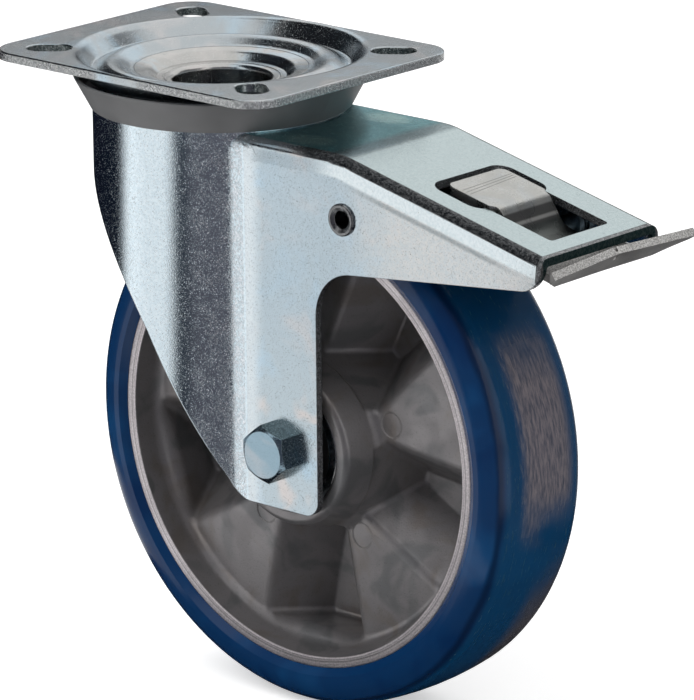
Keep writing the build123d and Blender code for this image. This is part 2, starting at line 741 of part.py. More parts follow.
with BuildPart() as pedal_pin:
    with BuildSketch(Plane(origin=(PEDAL_X, 0, PEDAL_Z), x_dir=(0, 1, 0), z_dir=(1, 0, 0))):
        with BuildLine():
            pin_end = LEVER_HALF + PIN_HEAD_T
            head_seat = LEVER_HALF + 0.05
            Polyline(
                (-pin_end, 0),
                (-pin_end, PIN_HEAD_R),
                (-head_seat, PIN_HEAD_R),
                (-head_seat, PEDAL_PIN_R),
                (head_seat, PEDAL_PIN_R),
                (head_seat, PIN_HEAD_R),
                (pin_end, PIN_HEAD_R),
                (pin_end, 0),
                close=True,
            )
        make_face()
    revolve(axis=Axis((PEDAL_X, 0, PEDAL_Z), (0, 1, 0)))

with BuildPart() as lip:
    # upturned lip: its ends sweep forward and lie a little flatter than its middle
    for y, lip_edge in ((-LIP_HALF, (189.0, -43.3)), (0, (185.0, -43.0))):
        with BuildSketch(side_plane(y)):
            with BuildLine():
                FilletPolyline((168.0, tread_z(168)), (LIP_ROOT_X, tread_z(LIP_ROOT_X)), lip_edge, radius=3.0)
                offset(amount=SHEET_T, side=Side.RIGHT)
            make_face()
    loft()
    mirror(about=Plane.XZ)
    with Locations((LIP_NICK_X, 0, tread_z(LIP_ROOT_X))):
        Cylinder(LIP_NICK_R, WIDE, mode=Mode.SUBTRACT)
    with BuildSketch(Plane.XY.offset(-WIDE)):
        with BuildLine():
            FilletPolyline(
                (160.0, 0),
                (160.0, ROOT_HALF),
                (LIP_ROOT_X, ROOT_HALF),
                (LIP_ROOT_X + 10.0, LIP_HALF),
                (196.0, LIP_HALF),
                (196.0, 0),
                radius=[0.0, 3.0, 3.0, 0.0],
            )
            Line((196.0, 0), (160.0, 0))
        make_face()
        mirror(about=Plane.XZ)
    extrude(amount=WIDE, mode=Mode.INTERSECT)

with BuildPart() as brake_pedal:
    # one sheet: tab in the window, step down, tread under the canopy front
    with BuildSketch(side_plane(WIDE / 2)):
        with BuildLine():
            FilletPolyline(
                (TAB_X, roof_z(TAB_X) + 1.0),
                (144.5, roof_z(144.5) + 1.0),
                (TREAD_X, TREAD_Z),
                (174.0, tread_z(174)),
                radius=[4.0, 9.0],
            )
            offset(amount=SHEET_T, side=Side.RIGHT)
        make_face()
    extrude(amount=WIDE)
    with BuildSketch(Plane.XY.offset(-WIDE)):
        with BuildLine():
            FilletPolyline(
                (TAB_X, 0),
                (TAB_X, TAB_HALF),
                (141.0, TAB_HALF),
                (143.0, NECK_HALF),
                (160.0, NECK_HALF),
                (169.0, ROOT_HALF),
                (190.0, ROOT_HALF),
                (190.0, 0),
                radius=[3.0, 1.5, 1.5, 8.0, 6.0, 0.0],
            )
            Line((190.0, 0), (TAB_X, 0))
        make_face()
        mirror(about=Plane.XZ)
    extrude(amount=WIDE, mode=Mode.INTERSECT)
    # ears folded down round the pin
    for y in (-NECK_HALF + SHEET_T, NECK_HALF):
        with BuildSketch(side_plane(y)):
            with BuildLine():
                FilletPolyline(
                    (143.2, -34.3),
                    (150.0, -44.5),
                    (160.0, -47.4),
                    (148.5, -53.0),
                    (139.0, -53.0),
                    (137.0, -47.0),
                    (140.8, -36.0),
                    radius=[0.0, 0.0, 1.0, 5.0, 4.0, 0.0, 0.0],
                    close=True,
                )
            make_face()
        extrude(amount=SHEET_T)
    with Locations(Location((PEDAL_X, 0, PEDAL_Z), (90, 0, 0))):
        Cylinder(PEDAL_PIN_R + 0.05, WIDE, mode=Mode.SUBTRACT)
    add(lip.part)

with BuildPart() as return_spring:
    with BuildSketch(side_plane(SPRING_WIDTH / 2)):
        with BuildLine():
            ThreePointArc((50.0, LEVER_TOP + 0.9), (64.0, ROOF_Z - FORK_T - 0.05), (78.0, LEVER_TOP + 0.9))
            offset(amount=SPRING_T, side=Side.RIGHT)
        make_face()
    extrude(amount=SPRING_WIDTH)

os.makedirs("parts", exist_ok=True)
mounting_plate.part.label = "mounting_plate"
centre_washer.part.label = "centre_washer"
king_tube.part.label = "king_tube"
lower_race.part.label = "lower_race"
lock_ring.part.label = "lock_ring"
upper_balls.part.label = "upper_balls"
lower_balls.part.label = "lower_balls"
dust_seal.part.label = "dust_seal"
fork.part.label = "fork"
wheel_centre.part.label = "wheel_centre"
tyre.part.label = "tyre"
bearing_outer_rings.part.label = "bearing_outer_rings"
bearing_inner_rings.part.label = "bearing_inner_rings"
bearing_balls.part.label = "bearing_balls"
bearing_seals.part.label = "bearing_seals"
axle_sleeve.part.label = "axle_sleeve"
side_spacers.part.label = "side_spacers"
axle_bolt.part.label = "axle_bolt"
axle_washer.part.label = "axle_washer"
axle_nut.part.label = "axle_nut"
pivot_rivets.part.label = "pivot_rivets"
pivot_washers.part.label = "pivot_washers"
brake_lever.part.label = "brake_lever"
brake_shoe.part.label = "brake_shoe"
pedal_pin.part.label = "pedal_pin"
brake_pedal.part.label = "brake_pedal"
return_spring.part.label = "return_spring"
export_step(mounting_plate.part, "parts/mounting_plate.step")
export_step(centre_washer.part, "parts/centre_washer.step")
export_step(king_tube.part, "parts/king_tube.step")
export_step(lower_race.part, "parts/lower_race.step")
export_step(lock_ring.part, "parts/lock_ring.step")
export_step(upper_balls.part, "parts/upper_balls.step")
export_step(lower_balls.part, "parts/lower_balls.step")
export_step(dust_seal.part, "parts/dust_seal.step")
export_step(fork.part, "parts/fork.step")
export_step(wheel_centre.part, "parts/wheel_centre.step")
export_step(tyre.part, "parts/tyre.step")
export_step(bearing_outer_rings.part, "parts/bearing_outer_rings.step")
export_step(bearing_inner_rings.part, "parts/bearing_inner_rings.step")
export_step(bearing_balls.part, "parts/bearing_balls.step")
export_step(bearing_seals.part, "parts/bearing_seals.step")
export_step(axle_sleeve.part, "parts/axle_sleeve.step")
export_step(side_spacers.part, "parts/side_spacers.step")
export_step(axle_bolt.part, "parts/axle_bolt.step")
export_step(axle_washer.part, "parts/axle_washer.step")
export_step(axle_nut.part, "parts/axle_nut.step")
export_step(pivot_rivets.part, "parts/pivot_rivets.step")
export_step(pivot_washers.part, "parts/pivot_washers.step")
export_step(brake_lever.part, "parts/brake_lever.step")
export_step(brake_shoe.part, "parts/brake_shoe.step")
export_step(pedal_pin.part, "parts/pedal_pin.step")
export_step(brake_pedal.part, "parts/brake_pedal.step")
export_step(return_spring.part, "parts/return_spring.step")
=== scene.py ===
"""Swivel castor with a foot brake: finishes, small details, stage and camera."""

import math

import bmesh
import bpy
from mathutils import Matrix, Vector


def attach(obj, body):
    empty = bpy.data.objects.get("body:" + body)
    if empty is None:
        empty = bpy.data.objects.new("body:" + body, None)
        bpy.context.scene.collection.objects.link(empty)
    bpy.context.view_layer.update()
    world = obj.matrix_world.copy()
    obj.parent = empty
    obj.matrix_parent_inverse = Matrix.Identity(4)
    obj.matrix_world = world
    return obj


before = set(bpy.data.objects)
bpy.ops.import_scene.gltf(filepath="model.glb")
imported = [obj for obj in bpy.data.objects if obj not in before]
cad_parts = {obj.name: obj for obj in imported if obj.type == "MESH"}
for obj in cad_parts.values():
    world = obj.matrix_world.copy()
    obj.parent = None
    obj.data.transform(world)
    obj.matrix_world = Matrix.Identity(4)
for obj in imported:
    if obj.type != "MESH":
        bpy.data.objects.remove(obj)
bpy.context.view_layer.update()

bl_info = {
    "name": "Swivel castor",
    "version": (1, 0, 0),
    "blender": (4, 5, 0),
    "location": "3D View > Sidebar > Castor",
    "description": "Finishes and small details of a swivel castor with a foot brake",
    "category": "Object",
}

# Places on the castor, in metres, in the frame of the CAD model: X forwards, Y across, Z up.
# Where a pair of limits bounds a mask, the mask is 0 at the first and 1 at the second.
AXLE = Vector((0.055, 0.0, -0.135))
FLOOR_Z = -0.235
# The edge of the plate's dish from the swivel axis.
DISH_EDGE = (0.0555, 0.0565)
# The middle of each bolt slot from the swivel axis, and how far its walls reach from there.
SLOT_CENTRE = (0.0525, 0.0400)
SLOT_REACH = (0.0115, 0.0105)
# The roof's height where it bends, how far along X that is, and its fall per metre of X beyond it.
ROOF_HEIGHT = -0.0203
ROOF_BEND = 0.085
ROOF_FALL = 0.2348
# How much of the normal points up on the roof, and how much of it points sideways on a side.
ROOF_FACING = (0.93, 0.96)
SIDE_FACING = (0.97, 0.99)
# The distance from the middle line where the canopy's sides lean in, and X where the head ends.
LEANING_SIDE = (0.0305, 0.0312)
HEAD_END = (0.0418, 0.0408)
# The specks and the clumps of specks in the head's skin that fit in a metre.
SPECKS = 1400.0
CLUMPS = 180.0
# The painted pale reflection on the roof: its place along and beside the middle line, and its reach.
GLOW_CENTRE = (0.0624, 0.0210)
GLOW_RADII = (0.0130, 0.0085)
# The small swell pressed up where each leg's fold meets the roof: middle, radii and lean in radians.
SWELL_MIDDLE = (0.0402, 0.0317, -0.0262)
SWELL_RADII = (0.0080, 0.0016, 0.0044)
SWELL_LEAN = 0.20
# The bolt's thread: the length of one turn, Y where it starts, and its height against the grain's.
THREAD_PITCH = 0.00175
THREAD_START = (0.0445, 0.0450)
THREAD_DEPTH = 3.0
# Scribed lines on the pedal's tab: X at the middle, and how far X moves per metre of Y.
TAB_LINES = ((0.12873, -0.066), (0.12727, -0.044), (0.13024, -0.084))
TAB_LINE_WIDTH = 0.00022
TAB_SIDE = (0.0150, 0.0130)
# The pedal's lip, whose upper edge faces a way in X and Z, and the heights of the painted shade and painted
# highlight that lie behind it.
LIP_START = (0.168, 0.164)
LIP_EDGE_FACING = (0.73, 0.68)
BEND_TOP = (-0.0352, -0.0360)
STREAK_HEIGHT = -0.0392
SLOPE_TOP = (-0.0402, -0.0412)
# The machined ring of the wheel centre: how far out it lies, and the lathe lines that fit in a metre.
RING_SIDE = (0.0227, 0.0229)
RING_RADIUS = (0.0790, 0.0795)
LATHE_LINES = 1500.0
# Where the tread starts, from the axle, and the marks on it that fit in a radian and in a metre of Y.
TREAD_RADIUS = (0.0972, 0.0982)
TREAD_MARKS = (16.0, 900.0)
# The ring of painted shade on the tyre, between its side and its tread, and how softly it fades.
SHOULDER_RADII = (0.0960, 0.0978)
SHOULDER_SOFT = 0.0008
# The painted reflection patch and the scuff on the tread: angle round the axle, in radians, and Y, with how
# softly they fade.
REFLECTION_ANGLES = (-0.13, 0.47)
REFLECTION_SIDES = (-0.0110, 0.0140)
REFLECTION_SOFT = (0.09, 0.0035)
SCUFF_ANGLES = (-0.95, -0.42)
SCUFF_SIDES = (0.004, 0.030)
SCUFF_SOFT = (0.20, 0.006)

# Handling marks: how much longer a needle is than wide, and the turns of three sets of them.
NEEDLE_SLIMNESS = 16.0
NEEDLE_TURNS = ((0.3, 0.9, 0.2), (0.2, 0.5, 1.1), (1.0, 1.7, 0.6))

# Camera, in metres and degrees, and the picture's width in pixels.
PICTURE_WIDTH = 694
CAMERA_AZIMUTH = 41.74
CAMERA_ELEVATION = 16.24
CAMERA_ROLL = -0.53
CAMERA_DISTANCE = 2.01885
CAMERA_FOCAL_PIXELS = 5545.5
CAMERA_TARGET = Vector((0.06039, 0.0, -0.10344))
CAMERA_REACH = 100.0
SENSOR_WIDTH = 36.0

# What the lamps point at and how wide they are, in metres.
LAMP_TARGET = Vector((0.04, 0.0, -0.10))
LAMP_SIZE = 1.2
# How far the feet of the panels stay above the floor, and the degrees that one face of them spans.
PANEL_LIFT = 0.002
PANEL_STEP = 6.0

FLOAT = "NodeSocketFloat"
COLOUR = "NodeSocketColor"
VECTOR = "NodeSocketVector"
# The Mix node's sockets for two colours and their mixture.
MIX_COLOURS = (6, 7)
MIX_RESULT = 2


# ---- user settings
def colour_setting(name, description, default):
    """A linear RGB colour that a user can change."""
    return bpy.props.FloatVectorProperty(
        name=name, description=description, default=default, subtype="COLOR", size=3, min=0.0, max=1.0
    )


def length_setting(name, description, default, lowest, highest):
    """A length that a user can change."""
    return bpy.props.FloatProperty(
        name=name, description=description, default=default, min=lowest, max=highest, unit="LENGTH"
    )


class CastorFinish(bpy.types.PropertyGroup):
    """The colours and sizes of the castor's finishes"""

    zinc: colour_setting("Zinc", "Colour of the fork's blue-passivated zinc", (0.50, 0.585, 0.635))
    cut_steel: colour_setting("Cut edges", "Colour of the fork's sheared edges", (0.20, 0.205, 0.21))
    pedal_zinc: colour_setting("Pedal", "Colour of the pedal's duller plate", (0.51, 0.51, 0.485))
    casting: colour_setting("Casting", "Colour of the cast wheel centre", (0.258, 0.247, 0.252))
    rim_ring: colour_setting("Rim ring", "Colour of the machined ring of the rim", (0.58, 0.54, 0.555))
    tyre: colour_setting("Tyre", "Colour of the blue polyurethane tyre", (0.0030, 0.030, 0.100))
    seal: colour_setting("Dust seal", "Colour of the grey plastic dust seal", (0.152, 0.153, 0.156))
    grain: length_setting("Sheet grain", "Size of the sheet's pebbled grain", 0.00045, 0.0001, 0.01)
    edge: length_setting("Edge rounding", "Radius that the steel's edges seem to have", 0.0004, 0.0, 0.002)


class CastorStage(bpy.types.PropertyGroup):
    """The floor and the panels round the castor"""

    floor: colour_setting("Floor", "Colour of the studio floor", (0.90, 0.90, 0.90))
    floor_size: length_setting("Floor size", "Length of each side of the floor", 60.0, 1.0, 1000.0)
    dark_panels: colour_setting("Dark panels", "Colour of the darkest panels", (0.02, 0.022, 0.026))
    grey_panel: colour_setting("Grey panel", "Colour of the panel behind the plate", (0.30, 0.31, 0.32))


# ---- shader helpers
def node(tree, kind, **values):
    """A shader node. Values are its inputs, or its own settings where no input has that name."""
    made = tree.nodes.new(kind)
    for key, value in values.items():
        words = key.replace("_", " ").lower()
        socket = next((found for found in made.inputs if found.name.lower() == words), None)
        if socket is None:
            setattr(made, key, value)
        else:
            socket.default_value = value
    return made


def link(tree, source, target):
    """Joins an output socket to an input socket."""
    tree.links.new(source, target)


def feed(tree, value, target):
    """Gives an input socket its value: an output socket, a number or a linear RGB colour."""
    if isinstance(value, bpy.types.NodeSocket):
        link(tree, value, target)
    elif target.type == "RGBA":
        target.default_value = (*value, 1.0)
    else:
        target.default_value = value


def feed_all(tree, made, **values):
    """Feeds a node's inputs by name, where _ stands for a space."""
    for key, value in values.items():
        feed(tree, value, made.inputs[key.replace("_", " ")])


def maths(tree, operation, *operands):
    """One Math node. Each operand is a socket or a number."""
    made = node(tree, "ShaderNodeMath", operation=operation)
    for operand, socket in zip(operands, made.inputs):
        feed(tree, operand, socket)
    return made.outputs[0]


def times(tree, product, *factors):
    """The product of sockets and numbers."""
    for factor in factors:
        product = maths(tree, "MULTIPLY", product, factor)
    return product


def plus(tree, total, *terms):
    """The sum of sockets and numbers."""
    for term in terms:
        total = maths(tree, "ADD", total, term)
    return total


def minus(tree, first, second):
    """The difference of two sockets or numbers."""
    return maths(tree, "SUBTRACT", first, second)


def largest(tree, winner, *others):
    """The largest of sockets and numbers."""
    for other in others:
        winner = maths(tree, "MAXIMUM", winner, other)
    return winner


def size_of(tree, value):
    """A value without its sign."""
    return maths(tree, "ABSOLUTE", value)


def squares(tree, first, second):
    """The sum of the squares of two values."""
    return plus(tree, maths(tree, "POWER", first, 2.0), maths(tree, "POWER", second, 2.0))


def length_of(tree, first, second):
    """The length of a line, from its parts along two axes."""
    return maths(tree, "SQRT", squares(tree, first, second))


def ramp(tree, source, start, end, low=0.0, high=1.0):
    """Maps a value from start..end smoothly to low..high, held at both ends."""
    made = node(
        tree, "ShaderNodeMapRange", interpolation_type="SMOOTHSTEP", From_Min=start, From_Max=end,
        To_Min=low, To_Max=high,
    )
    link(tree, source, made.inputs["Value"])
    return made.outputs["Result"]


def mix_colours(tree, factor, first, second):
    """Mixes two colours. Each is a socket or a linear RGB value."""
    made = node(tree, "ShaderNodeMix", data_type="RGBA")
    link(tree, factor, made.inputs["Factor"])
    for slot, value in zip(MIX_COLOURS, (first, second)):
        feed(tree, value, made.inputs[slot])
    return made.outputs[MIX_RESULT]


def noise(tree, point, scale, **values):
    """Noise over a point, whose scale is a socket or a number."""
    made = node(tree, "ShaderNodeTexNoise", **values)
    feed_all(tree, made, Vector=point, Scale=scale)
    return made.outputs["Fac"]


def sized_noise(group, given, size, **values):
    """Noise over a group's point, with features of the size that one of its inputs gives."""
    return noise(group, given["Point"], maths(group, "DIVIDE", 1.0, given[size]), **values)


def vector(tree, *parts):
    """Joins values into a vector."""
    made = node(tree, "ShaderNodeCombineXYZ")
    for part, socket in zip(parts, made.inputs):
        link(tree, part, socket)
    return made.outputs[0]


class Spot:
    """The point being shaded: its place in the castor's own frame, as a vector and in parts, how far
    it lies from the middle line, and the parts of the true surface normal."""

    def __init__(self, tree):
        self.point, (self.x, self.y, self.z) = self.parts_of(tree, "Object")
        self.facing_x, self.facing_y, self.facing_z = self.parts_of(tree, "Normal")[1]
        self.beside = size_of(tree, self.y)

    def parts_of(self, tree, kind):
        """One of the vectors of the Texture Coordinate node, and its X, Y and Z."""
        whole = node(tree, "ShaderNodeTexCoord").outputs[kind]
        parts = node(tree, "ShaderNodeSeparateXYZ")
        link(tree, whole, parts.inputs[0])
        return whole, parts.outputs


def from_axle(tree, at):
    """How far a spot is from the axle's line: along X, along Z and in all."""
    out_x = minus(tree, at.x, AXLE.x)
    out_z = minus(tree, at.z, AXLE.z)
    return out_x, out_z, length_of(tree, out_x, out_z)


def new_group(name, inputs, outputs):
    """An empty shader group. Inputs are (name, kind, default); outputs are (name, kind)."""
    group = bpy.data.node_groups.new(name, "ShaderNodeTree")
    for label, kind, default in inputs:
        socket = group.interface.new_socket(name=label, in_out="INPUT", socket_type=kind)
        if default is not None:
            socket.default_value = default
    for label, kind in outputs:
        group.interface.new_socket(name=label, in_out="OUTPUT", socket_type=kind)
    return group, group.nodes.new("NodeGroupInput").outputs, group.nodes.new("NodeGroupOutput").inputs


def grain_group():
    """Pebbled grain: a fine height field and a patchy mask over the sheet."""
    group, given, result = new_group(
        "Pebbled grain",
        [("Point", VECTOR, None), ("Size", FLOAT, 0.0006), ("Patch Size", FLOAT, 0.02)],
        [("Height", FLOAT), ("Patches", FLOAT)],
    )
    fine = sized_noise(group, given, "Size", Detail=3.0, Roughness=0.6)
    patches = sized_noise(group, given, "Patch Size", Detail=2.0, Roughness=0.5)
    link(group, fine, result["Height"])
    link(group, ramp(group, patches, 0.35, 0.65), result["Patches"])
    return group


def edge_group():
    """Broken edges: a normal rounded over each edge and a mask along it."""
    group, given, result = new_group(
        "Broken edge", [("Radius", FLOAT, 0.0004)], [("Normal", VECTOR), ("Mask", FLOAT)]
    )
    bevel = node(group, "ShaderNodeBevel", samples=6)
    link(group, given["Radius"], bevel.inputs["Radius"])
    geometry = node(group, "ShaderNodeNewGeometry")
    dot = node(group, "ShaderNodeVectorMath", operation="DOT_PRODUCT")
    link(group, bevel.outputs["Normal"], dot.inputs[0])
    link(group, geometry.outputs["True Normal"], dot.inputs[1])
    link(group, bevel.outputs["Normal"], result["Normal"])
    link(group, ramp(group, dot.outputs["Value"], 0.97, 0.80), result["Mask"])
    return group


def tint_group():
    """Passivation: the plate's colour drifts between a cool and a warm tint."""
    group, given, result = new_group(
        "Passivation tint",
        [
            ("Point", VECTOR, None), ("Colour", COLOUR, (0.6, 0.7, 0.75, 1.0)),
            ("Cool", COLOUR, (0.5, 0.7, 0.9, 1.0)), ("Warm", COLOUR, (0.9, 0.75, 0.7, 1.0)),
            ("Size", FLOAT, 0.03), ("Strength", FLOAT, 0.4),
        ],
        [("Colour", COLOUR)],
    )
    drift = sized_noise(group, given, "Size", Detail=3.0, Roughness=0.55, Distortion=0.6)
    colour = given["Colour"]
    for tint, start, end in (("Cool", 0.50, 0.36), ("Warm", 0.54, 0.68)):
        share = times(group, ramp(group, drift, start, end), given["Strength"])
        colour = mix_colours(group, share, colour, given[tint])
    link(group, colour, result["Colour"])
    return group


def scratch_group():
    """Fine handling scratches, as a mask: long thin needles that a surface cuts or lies along."""
    group, given, result = new_group(
        "Handling marks",
        [("Point", VECTOR, None), ("Length", FLOAT, 0.02), ("Amount", FLOAT, 0.5)],
        [("Mask", FLOAT)],
    )
    along = maths(group, "DIVIDE", 1.0, given["Length"])
    across = times(group, along, NEEDLE_SLIMNESS)
    stretch = vector(group, along, across, across)
    mask = 0.0
    for turn in NEEDLE_TURNS:
        turned = node(group, "ShaderNodeVectorRotate", rotation_type="EULER_XYZ", Rotation=turn)
        link(group, given["Point"], turned.inputs["Vector"])
        needles = node(group, "ShaderNodeVectorMath", operation="MULTIPLY")
        link(group, turned.outputs[0], needles.inputs[0])
        link(group, stretch, needles.inputs[1])
        cells = node(group, "ShaderNodeTexVoronoi", Scale=1.0)
        link(group, needles.outputs["Vector"], cells.inputs["Vector"])
        chance = node(group, "ShaderNodeSeparateColor")
        link(group, cells.outputs["Color"], chance.inputs["Color"])
        line = ramp(group, cells.outputs["Distance"], 0.13, 0.07)
        marks = times(group, line, ramp(group, chance.outputs[0], 0.86, 0.90))
        mask = largest(group, marks, mask)
    link(group, times(group, mask, given["Amount"]), result["Mask"])
    return group


def sparkle_group():
    """Speckle of a grainy bright surface: grains that are lighter or darker than the rest."""
    group, given, result = new_group(
        "Speckle",
        [("Point", VECTOR, None), ("Size", FLOAT, 0.0005)],
        [("Light", FLOAT), ("Dark", FLOAT)],
    )
    grains = sized_noise(group, given, "Size", Detail=2.0, Roughness=0.7)
    link(group, ramp(group, grains, 0.60, 0.72), result["Light"])
    link(group, ramp(group, grains, 0.42, 0.30), result["Dark"])
    return group


EFFECTS = {
    "grain": grain_group, "edge": edge_group, "tint": tint_group, "scratches": scratch_group,
    "speckle": sparkle_group,
}
GROUPS = {}


def group_node(tree, name, **values):
    """Places one of the shared effects in a material."""
    if name not in GROUPS:
        GROUPS[name] = EFFECTS[name]()
    made = node(tree, "ShaderNodeGroup", node_tree=GROUPS[name])
    feed_all(tree, made, **values)
    return made.outputs


def new_material(name, **surface):
    """A material with a Principled shader, whose plain values are set on its own sockets."""
    material = bpy.data.materials.new(name)
    material.use_nodes = True
    tree = material.node_tree
    shader = tree.nodes["Principled BSDF"]
    feed_all(tree, shader, **surface)
    return material, tree, shader


def bump(tree, height, depth, **base):
    """The normal of a surface with a height on it, over another normal where one is given."""
    made = node(tree, "ShaderNodeBump", Distance=depth, Strength=1.0)
    feed_all(tree, made, Height=height, **base)
    return made.outputs["Normal"]


def give(material, *names):
    """Puts a material on CAD nodes."""
    for name in names:
        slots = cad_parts[name].data.materials
        slots.clear()
        slots.append(material)


# ---- finishes
def grained_material(name, sizes, roughness, depth, colours, edge=0.0, wear_and_highlight=None, **surface):
    """A plain finish. Sizes are those of its grain and its patches, and the two colours and the two
    roughnesses drift from patch to patch. Broken edges may take another colour, for wear and a painted
    highlight."""
    material, tree, shader = new_material(name, **surface)
    at = Spot(tree)
    grain = group_node(tree, "grain", Point=at.point, Size=sizes[0], Patch_Size=sizes[1])
    colour = mix_colours(tree, grain["Patches"], *colours)
    rough = ramp(tree, grain["Patches"], 0.0, 1.0, *roughness)
    base = {}
    if edge > 0.0:
        broken = group_node(tree, "edge", Radius=edge)
        base["Normal"] = broken["Normal"]
        if wear_and_highlight is not None:
            colour = mix_colours(tree, broken["Mask"], colour, wear_and_highlight)
    normal = bump(tree, grain["Height"], depth, **base)
    feed_all(tree, shader, Base_Color=colour, Roughness=rough, Normal=normal)
    return material


def shaded(colour, *shades):
    """Lighter and darker shades of a colour."""
    return [[min(1.0, part * shade) for part in colour] for shade in shades]


def zone(mask_of, low, high, rougher=0.0, coarser=0.0):
    """A place where a finish looks different: the function that marks it, the two colours that it
    drifts between, and how much rougher and coarser it is. Below 0, coarser smooths the grain."""
    return mask_of, low, high, rougher, coarser


def zinc_material(name, finish, base, zones=(), roughness=0.085, grain=1.0, tint=0.5, relief=None):
    """Blue-passivated zinc on pressed steel, with zones that look different."""
    material, tree, shader = new_material(name, Metallic=1.0)
    at = Spot(tree)
    pebbles = group_node(tree, "grain", Point=at.point, Size=finish.grain, Patch_Size=0.018)
    clouds = group_node(tree, "grain", Point=at.point, Size=0.0012, Patch_Size=0.0035)
    speckle = group_node(tree, "speckle", Point=at.point, Size=finish.grain)
    edge = group_node(tree, "edge", Radius=finish.edge)
    colour = group_node(
        tree, "tint", Point=at.point, Colour=base, Cool=(0.47, 0.62, 0.73), Warm=(0.68, 0.635, 0.62),
        Size=0.026, Strength=tint,
    )["Colour"]
    marks = group_node(tree, "scratches", Point=at.point, Length=0.009, Amount=0.45)["Mask"]
    colour = mix_colours(tree, marks, colour, (0.24, 0.28, 0.31))
    colour = mix_colours(tree, times(tree, speckle["Dark"], 0.12), colour, (0.20, 0.24, 0.28))
    colour = mix_colours(tree, times(tree, speckle["Light"], 0.25), colour, (0.80, 0.86, 0.90))
    rough = ramp(tree, pebbles["Patches"], 0.0, 1.0, roughness * 0.8, roughness * 1.25)
    grains = times(tree, speckle["Light"], ramp(tree, clouds["Patches"], 0.0, 1.0, 0.12, 0.40), grain)
    rough = plus(tree, rough, grains)
    height = plus(
        tree, times(tree, pebbles["Height"], 0.35 * grain), times(tree, speckle["Light"], 0.2 * grain)
    )
    for mask_of, low, high, rougher, coarser in zones:
        mask = mask_of(tree, at)
        coarse = group_node(tree, "grain", Point=at.point, Size=0.0005, Patch_Size=0.0009)
        colour = mix_colours(tree, mask, colour, mix_colours(tree, coarse["Patches"], low, high))
        rough = plus(tree, rough, times(tree, mask, rougher))
        if coarser < 0.0:
            height = times(tree, height, plus(tree, times(tree, mask, coarser), 1.0))
        else:
            height = plus(tree, height, times(tree, coarse["Height"], mask, coarser))
    if relief is not None:
        height = plus(tree, height, relief(tree, at))
    normal = bump(tree, height, 0.00014, Normal=edge["Normal"])
    feed_all(tree, shader, Base_Color=colour, Roughness=rough, Normal=normal)
    return material


def sheared(tree, limit, value):
    """1 where a facing component is smaller than the limit, either way."""
    return ramp(tree, size_of(tree, value), limit, limit - 0.1)


def plate_edges(tree, at):
    """Marks the plate's outer rim and the walls of its slots."""
    outside = ramp(tree, length_of(tree, at.x, at.y), *DISH_EDGE)
    return times(tree, sheared(tree, 0.5, at.facing_z), outside)


def slot_walls(tree, at):
    """Marks the walls of the bolt slots, which lie in shade."""
    out_x = minus(tree, size_of(tree, at.x), SLOT_CENTRE[0])
    out_y = minus(tree, at.beside, SLOT_CENTRE[1])
    near = ramp(tree, length_of(tree, out_x, out_y), *SLOT_REACH)
    return times(tree, sheared(tree, 0.6, at.facing_z), near)


def roof_shade(tree, at):
    """Marks the level part of the roof, given a teal tint and painted dark as painted shade."""
    level = ramp(tree, at.facing_z, 0.975, 0.996)
    behind = ramp(tree, at.x, 0.0885, 0.0800)
    return times(tree, level, behind, ramp(tree, at.z, -0.0216, -0.0206))


def roof_reflection(tree, at):
    """Marks the paler turquoise painted reflection inside that shade, on each side."""
    along = minus(tree, at.x, GLOW_CENTRE[0])
    side = minus(tree, at.beside, GLOW_CENTRE[1])
    parts = [maths(tree, "DIVIDE", part, reach) for part, reach in zip((along, side), GLOW_RADII)]
    return times(tree, ramp(tree, squares(tree, *parts), 1.0, 0.0, 0.0, 0.8), roof_shade(tree, at))


def roof_shade_rim(tree, at):
    """Marks the dark rim of painted shade where the shade on the level roof ends."""
    ahead = ramp(tree, at.x, 0.0780, 0.0840)
    behind = ramp(tree, at.x, 0.0905, 0.0865)
    return times(tree, behind, ahead, 0.85, ramp(tree, at.facing_z, *ROOF_FACING))


def roof_slope_shade(tree, at):
    """Marks the sloping part of the roof, painted a shade darker as painted shade."""
    return times(tree, ramp(tree, at.facing_z, *ROOF_FACING), ramp(tree, at.facing_x, 0.12, 0.20))


def border_shade(tree, at):
    """Marks the rounded borders of the roof, painted nearly black as a painted dark reflection."""
    outer = ramp(tree, at.beside, 0.0286, 0.0291)
    upper = ramp(tree, at.facing_z, 0.24, 0.34)
    ahead = ramp(tree, at.x, 0.060, 0.072)
    return times(tree, outer, upper, ahead, ramp(tree, at.z, -0.060, -0.055))


def below_roof(tree, at):
    """How far the spot lies under the roof's top, in metres."""
    past = largest(tree, minus(tree, at.x, ROOF_BEND), 0.0)
    return minus(tree, minus(tree, ROOF_HEIGHT, times(tree, past, ROOF_FALL)), at.z)


def band_highlight(tree, at):
    """Marks the bright band under each border of the roof, where the side leans in: a painted highlight."""
    drop = below_roof(tree, at)
    band = times(tree, ramp(tree, drop, 0.0024, 0.0030), ramp(tree, drop, 0.0085, 0.0070))
    side = ramp(tree, at.beside, *LEANING_SIDE)
    return times(tree, band, side, ramp(tree, at.x, 0.070, 0.085))


def band_foot_shade(tree, at):
    """Marks the soft dark line of painted shade along the foot of that band."""
    away = size_of(tree, minus(tree, below_roof(tree, at), 0.0090))
    along = times(tree, ramp(tree, at.x, 0.085, 0.110), ramp(tree, at.x, 0.172, 0.150))
    side = ramp(tree, at.beside, *LEANING_SIDE)
    return times(tree, ramp(tree, away, 0.0016, 0.0002, 0.0, 0.75), along, side)


def flank_light(tree, at):
    """Marks the sides of the canopy, given a warmer tone and painted paler towards the front as painted
    light.
    """
    side = ramp(tree, size_of(tree, at.facing_y), *SIDE_FACING)
    return times(tree, side, ramp(tree, at.x, 0.080, 0.125, 0.0, 0.85))


def head_highlight(tree, at):
    """Marks the round head, whose zinc is painted brighter than the rest as a painted highlight."""
    return ramp(tree, at.x, *HEAD_END)


